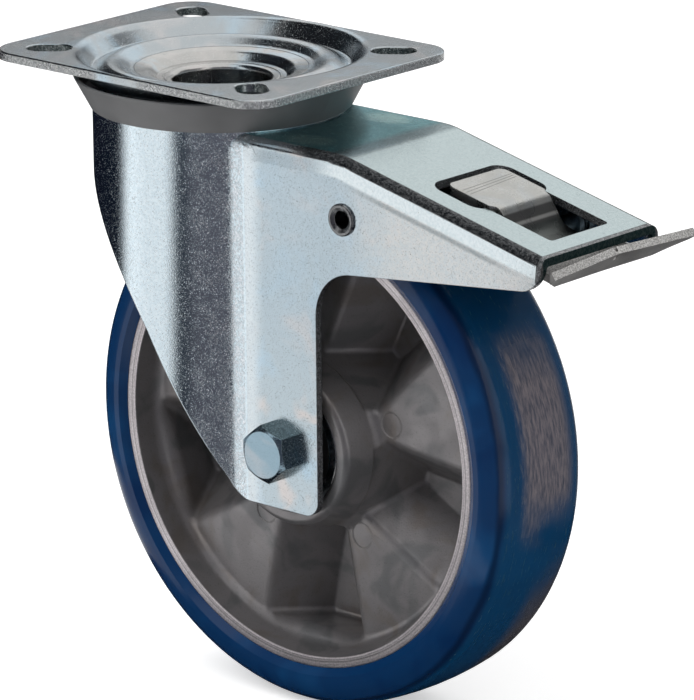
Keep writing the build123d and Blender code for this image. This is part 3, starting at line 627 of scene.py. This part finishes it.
def head_mottle(tree, at):
    """Marks the matt specks in the head's skin, which are thickest beside the legs."""
    specks = noise(tree, at.point, SPECKS, Detail=3.0, Roughness=0.75)
    clumps = noise(tree, at.point, CLUMPS, Detail=2.0, Roughness=0.5)
    thicker = ramp(tree, at.x, 0.024, 0.036, -0.03, 0.05)
    amount = plus(tree, specks, times(tree, clumps, 0.45), thicker)
    front = times(tree, ramp(tree, at.x, 0.019, 0.026), ramp(tree, at.x, 0.0405, 0.0400))
    back = ramp(tree, at.x, -0.012, -0.020, 0.0, 0.4)
    return times(tree, ramp(tree, amount, 0.72, 0.84), largest(tree, front, back))


def upper_leg(tree, at):
    """Marks the upper part of each leg's sides, made darker and bluer towards the top."""
    side = ramp(tree, size_of(tree, at.facing_y), *SIDE_FACING)
    along = times(tree, ramp(tree, at.x, 0.046, 0.052), ramp(tree, at.x, 0.110, 0.085))
    return times(tree, side, along, ramp(tree, at.z, -0.120, -0.075, 0.0, 0.6))


def fold_highlight(tree, at):
    """Marks the strip beside the fold where each leg leaves the head, painted paler as a painted highlight.
    """
    strip = times(tree, ramp(tree, at.x, 0.0408, 0.0414), ramp(tree, at.x, 0.0500, 0.0430))
    return times(tree, strip, ramp(tree, at.beside, 0.0310, 0.0325))


def thread(tree, at):
    """The screw thread on the bolt's end, as a height."""
    turns = maths(tree, "SINE", times(tree, at.y, 2 * math.pi / THREAD_PITCH))
    return times(tree, turns, ramp(tree, at.y, *THREAD_START), THREAD_DEPTH)


def canopy_front_shade(tree, at):
    """Marks the cut face at the front of the roof, painted dark teal as painted shade."""
    middle = ramp(tree, at.beside, 0.0315, 0.0305)
    upright = ramp(tree, at.facing_z, 0.80, 0.70)
    return times(tree, ramp(tree, at.x, 0.1766, 0.1770), middle, upright)


def hex_side_shade(tree, at):
    """Marks the sides of the bolt's and nut's hexagons, painted darker than their faces as painted shade."""
    outside = ramp(tree, at.beside, 0.0328, 0.0332)
    return times(tree, sheared(tree, 0.30, at.facing_y), outside)


def fork_edges(tree, at):
    """Marks the fork's swept edges, feet, window and front."""
    along = sheared(tree, 0.35, at.facing_y)
    low = ramp(tree, at.z, -0.0275, -0.0295)
    swept = times(tree, along, ramp(tree, at.facing_z, -0.15, -0.30), low)
    leg = times(tree, ramp(tree, at.beside, 0.0290, 0.0298), along, ramp(tree, at.z, -0.056, -0.058))
    window = times(
        tree, ramp(tree, at.x, 0.113, 0.115), sheared(tree, 0.4, at.facing_z),
        ramp(tree, at.beside, 0.0215, 0.0205),
    )
    front = ramp(tree, at.x, 0.1765, 0.1770)
    return largest(tree, swept, leg, window, front)


class CASTOR_OT_steel(bpy.types.Operator):
    """Gives the plate, fork, head and fasteners their zinc finish"""

    bl_idname = "castor.steel"
    bl_label = "Zinc-plated steel"

    def execute(self, context):
        finish = context.scene.castor_finish
        plate_zones = (
            zone(plate_edges, (0.51, 0.53, 0.535), (0.92, 0.94, 0.94), rougher=0.12, coarser=2.5),
            zone(slot_walls, (0.10, 0.13, 0.13), (0.34, 0.37, 0.37), coarser=0.5),
        )
        fork_zones = (
            # painted highlight: the head's zinc is made brighter than the rest of the fork
            zone(head_highlight, (0.655, 0.765, 0.83), (0.75, 0.845, 0.90)),
            zone(head_mottle, (0.60, 0.66, 0.71), (0.84, 0.88, 0.92), rougher=0.15, coarser=0.4),
            zone(upper_leg, (0.42, 0.51, 0.575), (0.46, 0.555, 0.62)),
            # painted highlight along the fold where each leg leaves the head
            zone(fold_highlight, (0.65, 0.72, 0.765), (0.70, 0.765, 0.80)),
            # painted light, with a warmer tone, on the canopy's sides
            zone(flank_light, (0.62, 0.655, 0.67), (0.70, 0.70, 0.69), coarser=-0.4),
            # painted shade on the roof's slope
            zone(roof_slope_shade, (0.46, 0.55, 0.56), (0.50, 0.59, 0.60), rougher=0.02),
            # painted shade with a teal tint on the level roof
            zone(roof_shade, (0.11, 0.42, 0.47), (0.21, 0.53, 0.56), rougher=0.02),
            # painted reflection: a pale turquoise spot on the level roof
            zone(roof_reflection, (0.42, 0.74, 0.72), (0.58, 0.84, 0.80), rougher=0.06),
            # painted shade along the edge of the level roof
            zone(roof_shade_rim, (0.13, 0.19, 0.20), (0.23, 0.29, 0.30), rougher=0.05, coarser=0.3),
            # painted highlight under each border of the roof
            zone(band_highlight, (0.67, 0.755, 0.79), (0.77, 0.84, 0.87), coarser=-0.8),
            # painted shade along the crease under the bright band
            zone(band_foot_shade, (0.26, 0.30, 0.32), (0.34, 0.37, 0.38), rougher=0.05, coarser=0.3),
            # painted dark reflection on the roof's rounded borders
            zone(border_shade, (0.020, 0.024, 0.028), (0.14, 0.145, 0.15), rougher=0.08, coarser=2.0),
            zone(fork_edges, finish.cut_steel, (0.40, 0.41, 0.42), rougher=0.12, coarser=2.5),
            # painted shade on the canopy's front face
            zone(canopy_front_shade, (0.012, 0.045, 0.045), (0.07, 0.11, 0.11), rougher=0.10, coarser=2.0),
        )
        bolt_zones = (
            # painted shade on the hexagons' sides
            zone(hex_side_shade, (0.15, 0.21, 0.23), (0.34, 0.42, 0.44), rougher=0.10, coarser=0.6),
        )
        plate = zinc_material("zinc_plate", finish, (0.455, 0.495, 0.515), plate_zones, roughness=0.13)
        give(plate, "mounting_plate")
        fork = zinc_material("zinc_fork", finish, finish.zinc, fork_zones, tint=0.9)
        give(fork, "fork")
        turned = zinc_material("zinc_turned", finish, (0.50, 0.50, 0.485), roughness=0.16, grain=0.6)
        give(turned, "centre_washer", "king_tube", "lower_race", "lock_ring")
        bolt = zinc_material(
            "zinc_bolt", finish, (0.30, 0.42, 0.50), bolt_zones, roughness=0.12, tint=0.3, relief=thread
        )
        give(bolt, "axle_bolt", "axle_nut", "axle_washer")
        # painted shade: these zinc parts inside the fork are made nearly black
        inner_shade = zinc_material("zinc_lever", finish, (0.050, 0.066, 0.066), roughness=0.34)
        give(inner_shade, "brake_lever", "pedal_pin", "pivot_washers", "axle_sleeve", "side_spacers")
        return {"FINISHED"}


class CASTOR_OT_brake(bpy.types.Operator):
    """Gives the pedal, shoe, rivets and spring their finishes"""

    bl_idname = "castor.brake"
    bl_label = "Brake parts"

    def execute(self, context):
        finish = context.scene.castor_finish
        give(self.pedal_plate(finish), "brake_pedal")
        dark = grained_material(
            "phosphated_steel", sizes=(0.0007, 0.004), roughness=(0.22, 0.34), depth=0.00005,
            colours=((0.16, 0.165, 0.17), (0.30, 0.305, 0.31)), edge=finish.edge,
            # wear and a painted highlight: the broken edges are made light
            wear_and_highlight=(0.80, 0.81, 0.82), Metallic=1.0,
        )
        give(dark, "pivot_rivets", "brake_shoe")
        blued = grained_material(
            "blued_spring", sizes=(0.0009, 0.008), roughness=(0.25, 0.38), depth=0.00003,
            colours=((0.05, 0.06, 0.09), (0.12, 0.13, 0.16)), Metallic=1.0,
        )
        give(blued, "return_spring")
        return {"FINISHED"}

    def pedal_plate(self, finish):
        """Duller steel sheet: scribed lines on the tab, painted shade and a painted highlight on the bend, a
        dull lip darkened with painted shade.
        """
        material, tree, shader = new_material("pedal_plate", Metallic=1.0)
        at = Spot(tree)
        pebbles = group_node(tree, "grain", Point=at.point, Size=0.0006, Patch_Size=0.010)
        speckle = group_node(tree, "speckle", Point=at.point, Size=0.0006)
        coarse = group_node(tree, "grain", Point=at.point, Size=0.0005, Patch_Size=0.0005)
        edge = group_node(tree, "edge", Radius=finish.edge)
        colour = group_node(
            tree, "tint", Point=at.point, Colour=finish.pedal_zinc, Cool=(0.50, 0.53, 0.54),
            Warm=(0.60, 0.56, 0.50), Size=0.020, Strength=0.5,
        )["Colour"]
        colour = mix_colours(tree, times(tree, speckle["Dark"], 0.35), colour, (0.16, 0.16, 0.16))
        marks = group_node(tree, "scratches", Point=at.point, Length=0.007, Amount=0.6)["Mask"]
        colour = mix_colours(tree, marks, colour, (0.20, 0.20, 0.20))
        # lines scribed across the tab
        tab = times(tree, ramp(tree, at.beside, *TAB_SIDE), at.facing_z)
        for offset, lean in TAB_LINES:
            middle = plus(tree, times(tree, at.y, lean), offset)
            away = size_of(tree, minus(tree, at.x, middle))
            line = ramp(tree, away, TAB_LINE_WIDTH, TAB_LINE_WIDTH * 0.4)
            colour = mix_colours(tree, times(tree, line, tab, 0.8), colour, (0.10, 0.10, 0.10))
        # painted shade darkens the bend, a painted highlight runs along its foot, and painted shade darkens
        # the slope below
        behind = ramp(tree, at.x, *LIP_START)
        bend_shade = times(tree, ramp(tree, at.z, *BEND_TOP), behind)
        colour = mix_colours(tree, bend_shade, colour, (0.16, 0.16, 0.155))
        streak_highlight = ramp(tree, size_of(tree, minus(tree, at.z, STREAK_HEIGHT)), 0.0009, 0.0002)
        colour = mix_colours(tree, times(tree, streak_highlight, behind), colour, (0.62, 0.61, 0.58))
        pedal_slope_shade = times(tree, ramp(tree, at.z, *SLOPE_TOP), behind)
        colour = mix_colours(tree, pedal_slope_shade, colour, (0.115, 0.125, 0.120))
        # the lip has bright granular edges round a dull face, whose darker colour is painted shade
        lip = minus(tree, 1.0, behind)
        ways = zip((at.facing_x, at.facing_z), LIP_EDGE_FACING)
        outwards = [times(tree, facing, part) for facing, part in ways]
        rim = times(tree, ramp(tree, plus(tree, *outwards), 0.30, 0.60), lip)
        face = mix_colours(tree, pebbles["Patches"], (0.17, 0.166, 0.162), (0.25, 0.243, 0.237))
        bright = mix_colours(tree, coarse["Patches"], (0.34, 0.33, 0.32), (0.80, 0.79, 0.77))
        colour = mix_colours(tree, rim, mix_colours(tree, lip, colour, face), bright)
        metal = ramp(tree, lip, 0.0, 1.0, 1.0, 0.45)
        rough = ramp(tree, pebbles["Patches"], 0.0, 1.0, 0.24, 0.36)
        rough = plus(tree, rough, times(tree, lip, 0.20))
        height = plus(tree, pebbles["Height"], times(tree, coarse["Height"], rim, 2.0))
        normal = bump(tree, height, 0.00012, Normal=edge["Normal"])
        feed_all(tree, shader, Base_Color=colour, Metallic=metal, Roughness=rough, Normal=normal)
        return material


class CASTOR_OT_wheel(bpy.types.Operator):
    """Gives the cast centre, its machined rim and the bearings their finishes"""

    bl_idname = "castor.wheel"
    bl_label = "Wheel centre"

    def execute(self, context):
        finish = context.scene.castor_finish
        give(self.cast_centre(finish), "wheel_centre")
        ground = grained_material(
            "ground_steel", sizes=(0.0006, 0.005), roughness=(0.18, 0.28), depth=0.00002,
            colours=((0.58, 0.58, 0.57), (0.70, 0.70, 0.70)), edge=finish.edge, Metallic=1.0,
        )
        give(ground, "bearing_outer_rings", "bearing_inner_rings", "bearing_balls")
        give(ground, "upper_balls", "lower_balls")
        rubber = grained_material(
            "seal_rubber", sizes=(0.0007, 0.006), roughness=(0.40, 0.55), depth=0.00004,
            colours=((0.008, 0.008, 0.008), (0.018, 0.018, 0.018)), Specular_IOR_Level=0.4,
        )
        give(rubber, "bearing_seals")
        return {"FINISHED"}

    def cast_centre(self, finish):
        """Grey die casting with a fine skin, and a machined ring round its rim."""
        material, tree, shader = new_material("cast_centre")
        at = Spot(tree)
        grain = group_node(tree, "grain", Point=at.point, Size=0.0007, Patch_Size=0.012)
        speckle = group_node(tree, "speckle", Point=at.point, Size=0.0007)
        edge = group_node(tree, "edge", Radius=0.0010)
        radius = from_axle(tree, at)[2]
        side = ramp(tree, at.beside, *RING_SIDE)
        ring = times(tree, side, ramp(tree, radius, *RING_RADIUS))
        colour = group_node(
            tree, "tint", Point=at.point, Colour=finish.casting, Cool=(0.165, 0.168, 0.174),
            Warm=(0.225, 0.200, 0.188), Size=0.022, Strength=0.8,
        )["Colour"]
        colour = mix_colours(tree, times(tree, speckle["Dark"], 0.30), colour, (0.10, 0.10, 0.10))
        # painted highlight: the casting's rounded edges are made lighter
        colour = mix_colours(tree, times(tree, edge["Mask"], 0.75), colour, (0.50, 0.48, 0.47))
        # lathe lines, which run round the ring, broken by grains
        lines = noise(tree, vector(tree, radius), LATHE_LINES, Detail=2.0)
        turned = plus(tree, times(tree, lines, 0.70), times(tree, grain["Height"], 0.30))
        turned = ramp(tree, turned, 0.35, 0.65)
        machined = mix_colours(tree, turned, *shaded(finish.rim_ring, 0.62, 1.45))
        colour = mix_colours(tree, ring, colour, machined)
        metal = ramp(tree, ring, 0.0, 1.0, 0.70, 0.85)
        rough = ramp(tree, grain["Patches"], 0.0, 1.0, 0.34, 0.46)
        height = plus(tree, grain["Height"], times(tree, turned, ring, 0.5))
        normal = bump(tree, height, 0.00007, Normal=edge["Normal"])
        feed_all(tree, shader, Base_Color=colour, Metallic=metal, Roughness=rough, Normal=normal)
        return material


class CASTOR_OT_tyre(bpy.types.Operator):
    """Gives the tyre its blue polyurethane"""

    bl_idname = "castor.tyre"
    bl_label = "Tyre"

    def execute(self, context):
        finish = context.scene.castor_finish
        material, tree, shader = new_material("blue_polyurethane", Specular_IOR_Level=0.30)
        at = Spot(tree)
        grain = group_node(tree, "grain", Point=at.point, Size=0.0015, Patch_Size=0.030)
        patches = grain["Patches"]
        colour = group_node(
            tree, "tint", Point=at.point, Colour=finish.tyre, Cool=(0.0015, 0.020, 0.080),
            Warm=(0.005, 0.055, 0.160), Size=0.045, Strength=0.8,
        )["Colour"]
        # the tread drifts towards teal and carries fine marks that run round it
        out_x, out_z, radius = from_axle(tree, at)
        angle = maths(tree, "ARCTAN2", out_z, out_x)
        tread = ramp(tree, radius, *TREAD_RADIUS)
        marks = [times(tree, part, fit) for part, fit in zip((angle, at.y), TREAD_MARKS)]
        streaks = noise(tree, vector(tree, *marks), 1.0, Detail=4.0, Roughness=0.65)
        colour = mix_colours(tree, times(tree, tread, 0.75), colour, (0.002, 0.042, 0.108))
        brushed = times(tree, ramp(tree, streaks, 0.52, 0.75), tread)
        colour = mix_colours(tree, times(tree, brushed, 0.5), colour, (0.010, 0.060, 0.085))
        # painted shade: the shoulder between the side and the tread is darkened to the deepest blue
        shoulder_shade = self.band(tree, radius, SHOULDER_RADII, SHOULDER_SOFT, patches)
        colour = mix_colours(tree, times(tree, shoulder_shade, 0.75), colour, (0.001, 0.008, 0.030))
        # a painted grey reflection patch on the tread, where it is also rougher and bumpier
        reflection_patch = times(
            tree, self.band(tree, angle, REFLECTION_ANGLES, REFLECTION_SOFT[0], patches),
            self.band(tree, at.y, REFLECTION_SIDES, REFLECTION_SOFT[1], streaks), tread,
        )
        mottle = ramp(tree, streaks, 0.30, 0.70)
        reflected_grey = mix_colours(tree, mottle, (0.055, 0.060, 0.085), (0.185, 0.160, 0.175))
        colour = mix_colours(tree, reflection_patch, colour, reflected_grey)
        scuff = times(
            tree, self.band(tree, angle, SCUFF_ANGLES, SCUFF_SOFT[0], patches), tread,
            self.band(tree, at.y, SCUFF_SIDES, SCUFF_SOFT[1], streaks), 0.8,
        )
        colour = mix_colours(tree, scuff, colour, (0.085, 0.070, 0.066))
        rough = ramp(tree, patches, 0.0, 1.0, 0.14, 0.22)
        rough = plus(tree, rough, times(tree, brushed, 0.20), times(tree, reflection_patch, 0.30))
        height = plus(tree, times(tree, grain["Height"], 0.4), times(tree, brushed, 0.6))
        normal = bump(tree, plus(tree, height, times(tree, mottle, reflection_patch)), 0.00005)
        feed_all(tree, shader, Base_Color=colour, Roughness=rough, Normal=normal)
        give(material, "tyre")
        return {"FINISHED"}

    def band(self, tree, value, limits, soft, wobble):
        """1 between two limits, fading over the soft width, with a wobbly outline."""
        moved = plus(tree, value, times(tree, minus(tree, wobble, 0.5), soft))
        rise = ramp(tree, moved, limits[0] - soft, limits[0] + soft)
        return times(tree, rise, ramp(tree, moved, limits[1] + soft, limits[1] - soft))


class CASTOR_OT_seal(bpy.types.Operator):
    """Gives the dust seal its grey moulded plastic"""

    bl_idname = "castor.seal"
    bl_label = "Dust seal"

    def execute(self, context):
        finish = context.scene.castor_finish
        plastic = grained_material(
            "grey_plastic", sizes=(0.0009, 0.020), roughness=(0.40, 0.50), depth=0.00004,
            colours=shaded(finish.seal, 0.90, 1.08), Specular_IOR_Level=0.4,
        )
        give(plastic, "dust_seal")
        return {"FINISHED"}


# ---- stage
def direction(azimuth, elevation):
    """The way out at an azimuth, from -Y towards +X, and at an elevation, both in degrees."""
    turn, lift = math.radians(azimuth), math.radians(elevation)
    return Vector((math.sin(turn) * math.cos(lift), -math.cos(turn) * math.cos(lift), math.sin(lift)))


def add_object(name, data):
    """Adds an object to the scene."""
    made = bpy.data.objects.new(name, data)
    bpy.context.scene.collection.objects.link(made)
    return made


def add_mesh(name, points, faces, material):
    """Adds a mesh object with one material to the scene."""
    mesh = bpy.data.meshes.new(name)
    mesh.from_pydata(points, [], faces)
    mesh.materials.append(material)
    return add_object(name, mesh)


def seen_rays(tree):
    """1 for rays that the camera, a mirror or a clear piece sends out, otherwise 0."""
    path = node(tree, "ShaderNodeLightPath").outputs
    return largest(tree, path["Is Camera Ray"], path["Is Glossy Ray"], path["Is Transmission Ray"])


def curved_panel(name, start, end, low, high, colour, glow=0.0, middle_x=0.0):
    """A panel bent round the castor from one azimuth to another. low and high are (radius, z), and
    glow is the strength of its own light. The steel mirrors it; the camera doesn't see it, and it
    neither lights the castor nor shades it."""
    material = new_material(
        name, Base_Color=colour, Roughness=1.0, Specular_IOR_Level=0.0, Emission_Color=colour,
        Emission_Strength=glow,
    )[0]
    steps = max(2, round((end - start) / PANEL_STEP))
    points = []
    for step in range(steps + 1):
        outwards = direction(start + (end - start) * step / steps, 0.0)
        for radius, height in (low, high):
            points.append(Vector((middle_x, 0.0, height)) + radius * outwards)
    faces = [(2 * step, 2 * step + 2, 2 * step + 3, 2 * step + 1) for step in range(steps)]
    made = add_mesh(name, points, faces, material)
    made.visible_camera = False
    made.visible_shadow = False
    made.visible_diffuse = False


def soft_lamp(name, azimuth, elevation, distance, watts):
    """A square soft lamp that points at the castor. The steel doesn't mirror it."""
    data = bpy.data.lights.new(name, "AREA")
    data.shape = "SQUARE"
    data.size = LAMP_SIZE
    data.energy = watts
    made = add_object(name, data)
    made.location = LAMP_TARGET + distance * direction(azimuth, elevation)
    made.rotation_euler = (made.location - LAMP_TARGET).to_track_quat("Z", "Y").to_euler()
    made.visible_glossy = False


class CASTOR_OT_swells(bpy.types.Operator):
    """Adds the small pressed swells where the legs' folds meet the roof"""

    bl_idname = "castor.swells"
    bl_label = "Fold swells"

    def execute(self, context):
        material = bpy.data.materials.get("zinc_fork")
        if material is None:
            raise RuntimeError("run castor.steel first: the swells share the fork's finish")
        x, y, z = SWELL_MIDDLE
        shape = Matrix.Rotation(SWELL_LEAN, 4, "Y") @ Matrix.Diagonal((*SWELL_RADII, 1.0))
        for name, side in (("fold_swell_near", -1), ("fold_swell_far", 1)):
            mesh = bpy.data.meshes.new(name)
            ball = bmesh.new()
            bmesh.ops.create_uvsphere(ball, u_segments=40, v_segments=24, radius=1.0)
            place = Matrix.Translation((x, side * y, z)) @ shape
            bmesh.ops.transform(ball, matrix=place, verts=ball.verts)
            for face in ball.faces:
                face.smooth = True
            ball.to_mesh(mesh)
            ball.free()
            mesh.materials.append(material)
            swell = add_object(name, mesh)
            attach(swell, "swivel_fork")
        return {"FINISHED"}


class CASTOR_OT_stage(bpy.types.Operator):
    """Builds the floor, the panels, the lamps, the world and the camera"""

    bl_idname = "castor.stage"
    bl_label = "Stage and camera"

    def execute(self, context):
        stage = context.scene.castor_stage
        scene = context.scene
        self.floor(stage)
        self.panels(stage)
        self.world(scene)
        soft_lamp("key_lamp", azimuth=-35.0, elevation=45.0, distance=1.6, watts=14.0)
        soft_lamp("fill_lamp", azimuth=75.0, elevation=35.0, distance=1.8, watts=7.0)
        soft_lamp("back_lamp", azimuth=190.0, elevation=45.0, distance=1.8, watts=7.0)
        self.camera(scene)
        scene.view_settings.view_transform = "Standard"
        return {"FINISHED"}

    def floor(self, stage):
        """A matt floor that the camera and mirrors see brighter than it lights the castor."""
        material, tree, shader = new_material(
            "floor", Base_Color=stage.floor, Roughness=0.9, Specular_IOR_Level=0.0
        )
        glow = node(tree, "ShaderNodeEmission")
        path = node(tree, "ShaderNodeLightPath").outputs
        looked_at = times(tree, path["Is Camera Ray"], 0.38)
        link(tree, plus(tree, times(tree, seen_rays(tree), 0.10), looked_at), glow.inputs["Strength"])
        both = node(tree, "ShaderNodeAddShader")
        link(tree, shader.outputs[0], both.inputs[0])
        link(tree, glow.outputs[0], both.inputs[1])
        link(tree, both.outputs[0], tree.nodes["Material Output"].inputs["Surface"])
        half = stage.floor_size / 2
        corners = [(x * half, y * half, FLOOR_Z) for x, y in ((-1, -1), (1, -1), (1, 1), (-1, 1))]
        floor = add_mesh("floor", corners, [(0, 1, 2, 3)], material)

    def panels(self, stage):
        """The panels that the steel mirrors: azimuths, lower and upper border, and colour."""
        dark = stage.dark_panels
        foot = FLOOR_Z + PANEL_LIFT
        near = (0.22, foot)
        far = (0.50, 0.42)
        curved_panel("dark_panel_left", -142.0, -49.0, near, (0.50, 0.06), (0.008, 0.010, 0.018))
        curved_panel("dark_panel_front", 1.0, 15.0, near, far, (0.050, 0.060, 0.078))
        curved_panel("dull_panel_front", 15.0, 70.0, near, far, (0.150, 0.145, 0.172))
        curved_panel("dull_panel_right", 92.0, 166.0, (0.26, foot), (0.55, 0.50), (0.20, 0.205, 0.215))
        curved_panel("dark_panel_high", -124.0, -20.0, (0.66, 0.12), (0.30, 0.72), dark)
        curved_panel("grey_panel_back", -168.0, -110.0, (0.85, 0.00), (0.85, 0.24), stage.grey_panel)
        curved_panel("white_panel_left", -33.0, -1.0, (0.30, foot), (0.60, 0.10), (1.0, 1.0, 1.0), glow=0.12)
        beneath = ("dark_panel_beside", 60.0, 0.14, 0.30), ("dark_panel_under", -180.0, 0.02, 0.15)
        for name, start, inner_shade, outer in beneath:
            curved_panel(name, start, 180.0, (inner_shade, foot), (outer, foot), dark, middle_x=AXLE.x)

    def world(self, scene):
        """A white world that the camera and mirrors see brighter than it lights the castor."""
        world = bpy.data.worlds.new("studio")
        scene.world = world
        world.use_nodes = True
        tree = world.node_tree
        backdrop = tree.nodes["Background"]
        backdrop.inputs["Color"].default_value = (1.0, 1.0, 1.0, 1.0)
        link(tree, ramp(tree, seen_rays(tree), 0.0, 1.0, 0.45, 1.0), backdrop.inputs["Strength"])

    def camera(self, scene):
        """The camera, whose matrix holds the picture's right and up, the way back and its place."""
        data = bpy.data.cameras.new("camera")
        data.sensor_fit = "HORIZONTAL"
        data.sensor_width = SENSOR_WIDTH
        data.lens = CAMERA_FOCAL_PIXELS * SENSOR_WIDTH / PICTURE_WIDTH
        data.clip_end = CAMERA_REACH
        camera = add_object("camera", data)
        back = direction(CAMERA_AZIMUTH, CAMERA_ELEVATION)
        right = direction(CAMERA_AZIMUTH + 90.0, 0.0)
        up = back.cross(right)
        roll = math.radians(CAMERA_ROLL)
        rolled_right = right * math.cos(roll) + up * math.sin(roll)
        rolled_up = -right * math.sin(roll) + up * math.cos(roll)
        place = CAMERA_TARGET + back * CAMERA_DISTANCE
        camera.matrix_world = Matrix([*zip(rolled_right, rolled_up, back, place), (0.0, 0.0, 0.0, 1.0)])
        scene.camera = camera


class CASTOR_PT_panel(bpy.types.Panel):
    """Shows the settings and a button for each step"""

    bl_idname = "CASTOR_PT_panel"
    bl_label = "Swivel castor"
    bl_space_type = "VIEW_3D"
    bl_region_type = "UI"
    bl_category = "Castor"

    def draw(self, context):
        layout = self.layout
        for group in (context.scene.castor_finish, context.scene.castor_stage):
            for key in group.bl_rna.properties.keys():
                if key not in {"rna_type", "name"}:
                    layout.prop(group, key)
        for step in STEPS:
            layout.operator(step.bl_idname)


STEPS = (
    CASTOR_OT_steel, CASTOR_OT_brake, CASTOR_OT_wheel, CASTOR_OT_tyre, CASTOR_OT_seal, CASTOR_OT_swells,
    CASTOR_OT_stage,
)
CLASSES = (CastorFinish, CastorStage, *STEPS, CASTOR_PT_panel)


def register():
    """Adds the classes and the settings to Blender."""
    for made in CLASSES:
        bpy.utils.register_class(made)
    bpy.types.Scene.castor_finish = bpy.props.PointerProperty(type=CastorFinish)
    bpy.types.Scene.castor_stage = bpy.props.PointerProperty(type=CastorStage)


def unregister():
    """Takes them away again."""
    del bpy.types.Scene.castor_stage
    del bpy.types.Scene.castor_finish
    for made in reversed(CLASSES):
        bpy.utils.unregister_class(made)


def main():
    """Runs every step in order."""
    register()
    bpy.ops.castor.steel()
    bpy.ops.castor.brake()
    bpy.ops.castor.wheel()
    bpy.ops.castor.tyre()
    bpy.ops.castor.seal()
    bpy.ops.castor.swells()
    bpy.ops.castor.stage()


if __name__ == "__main__":
    main()
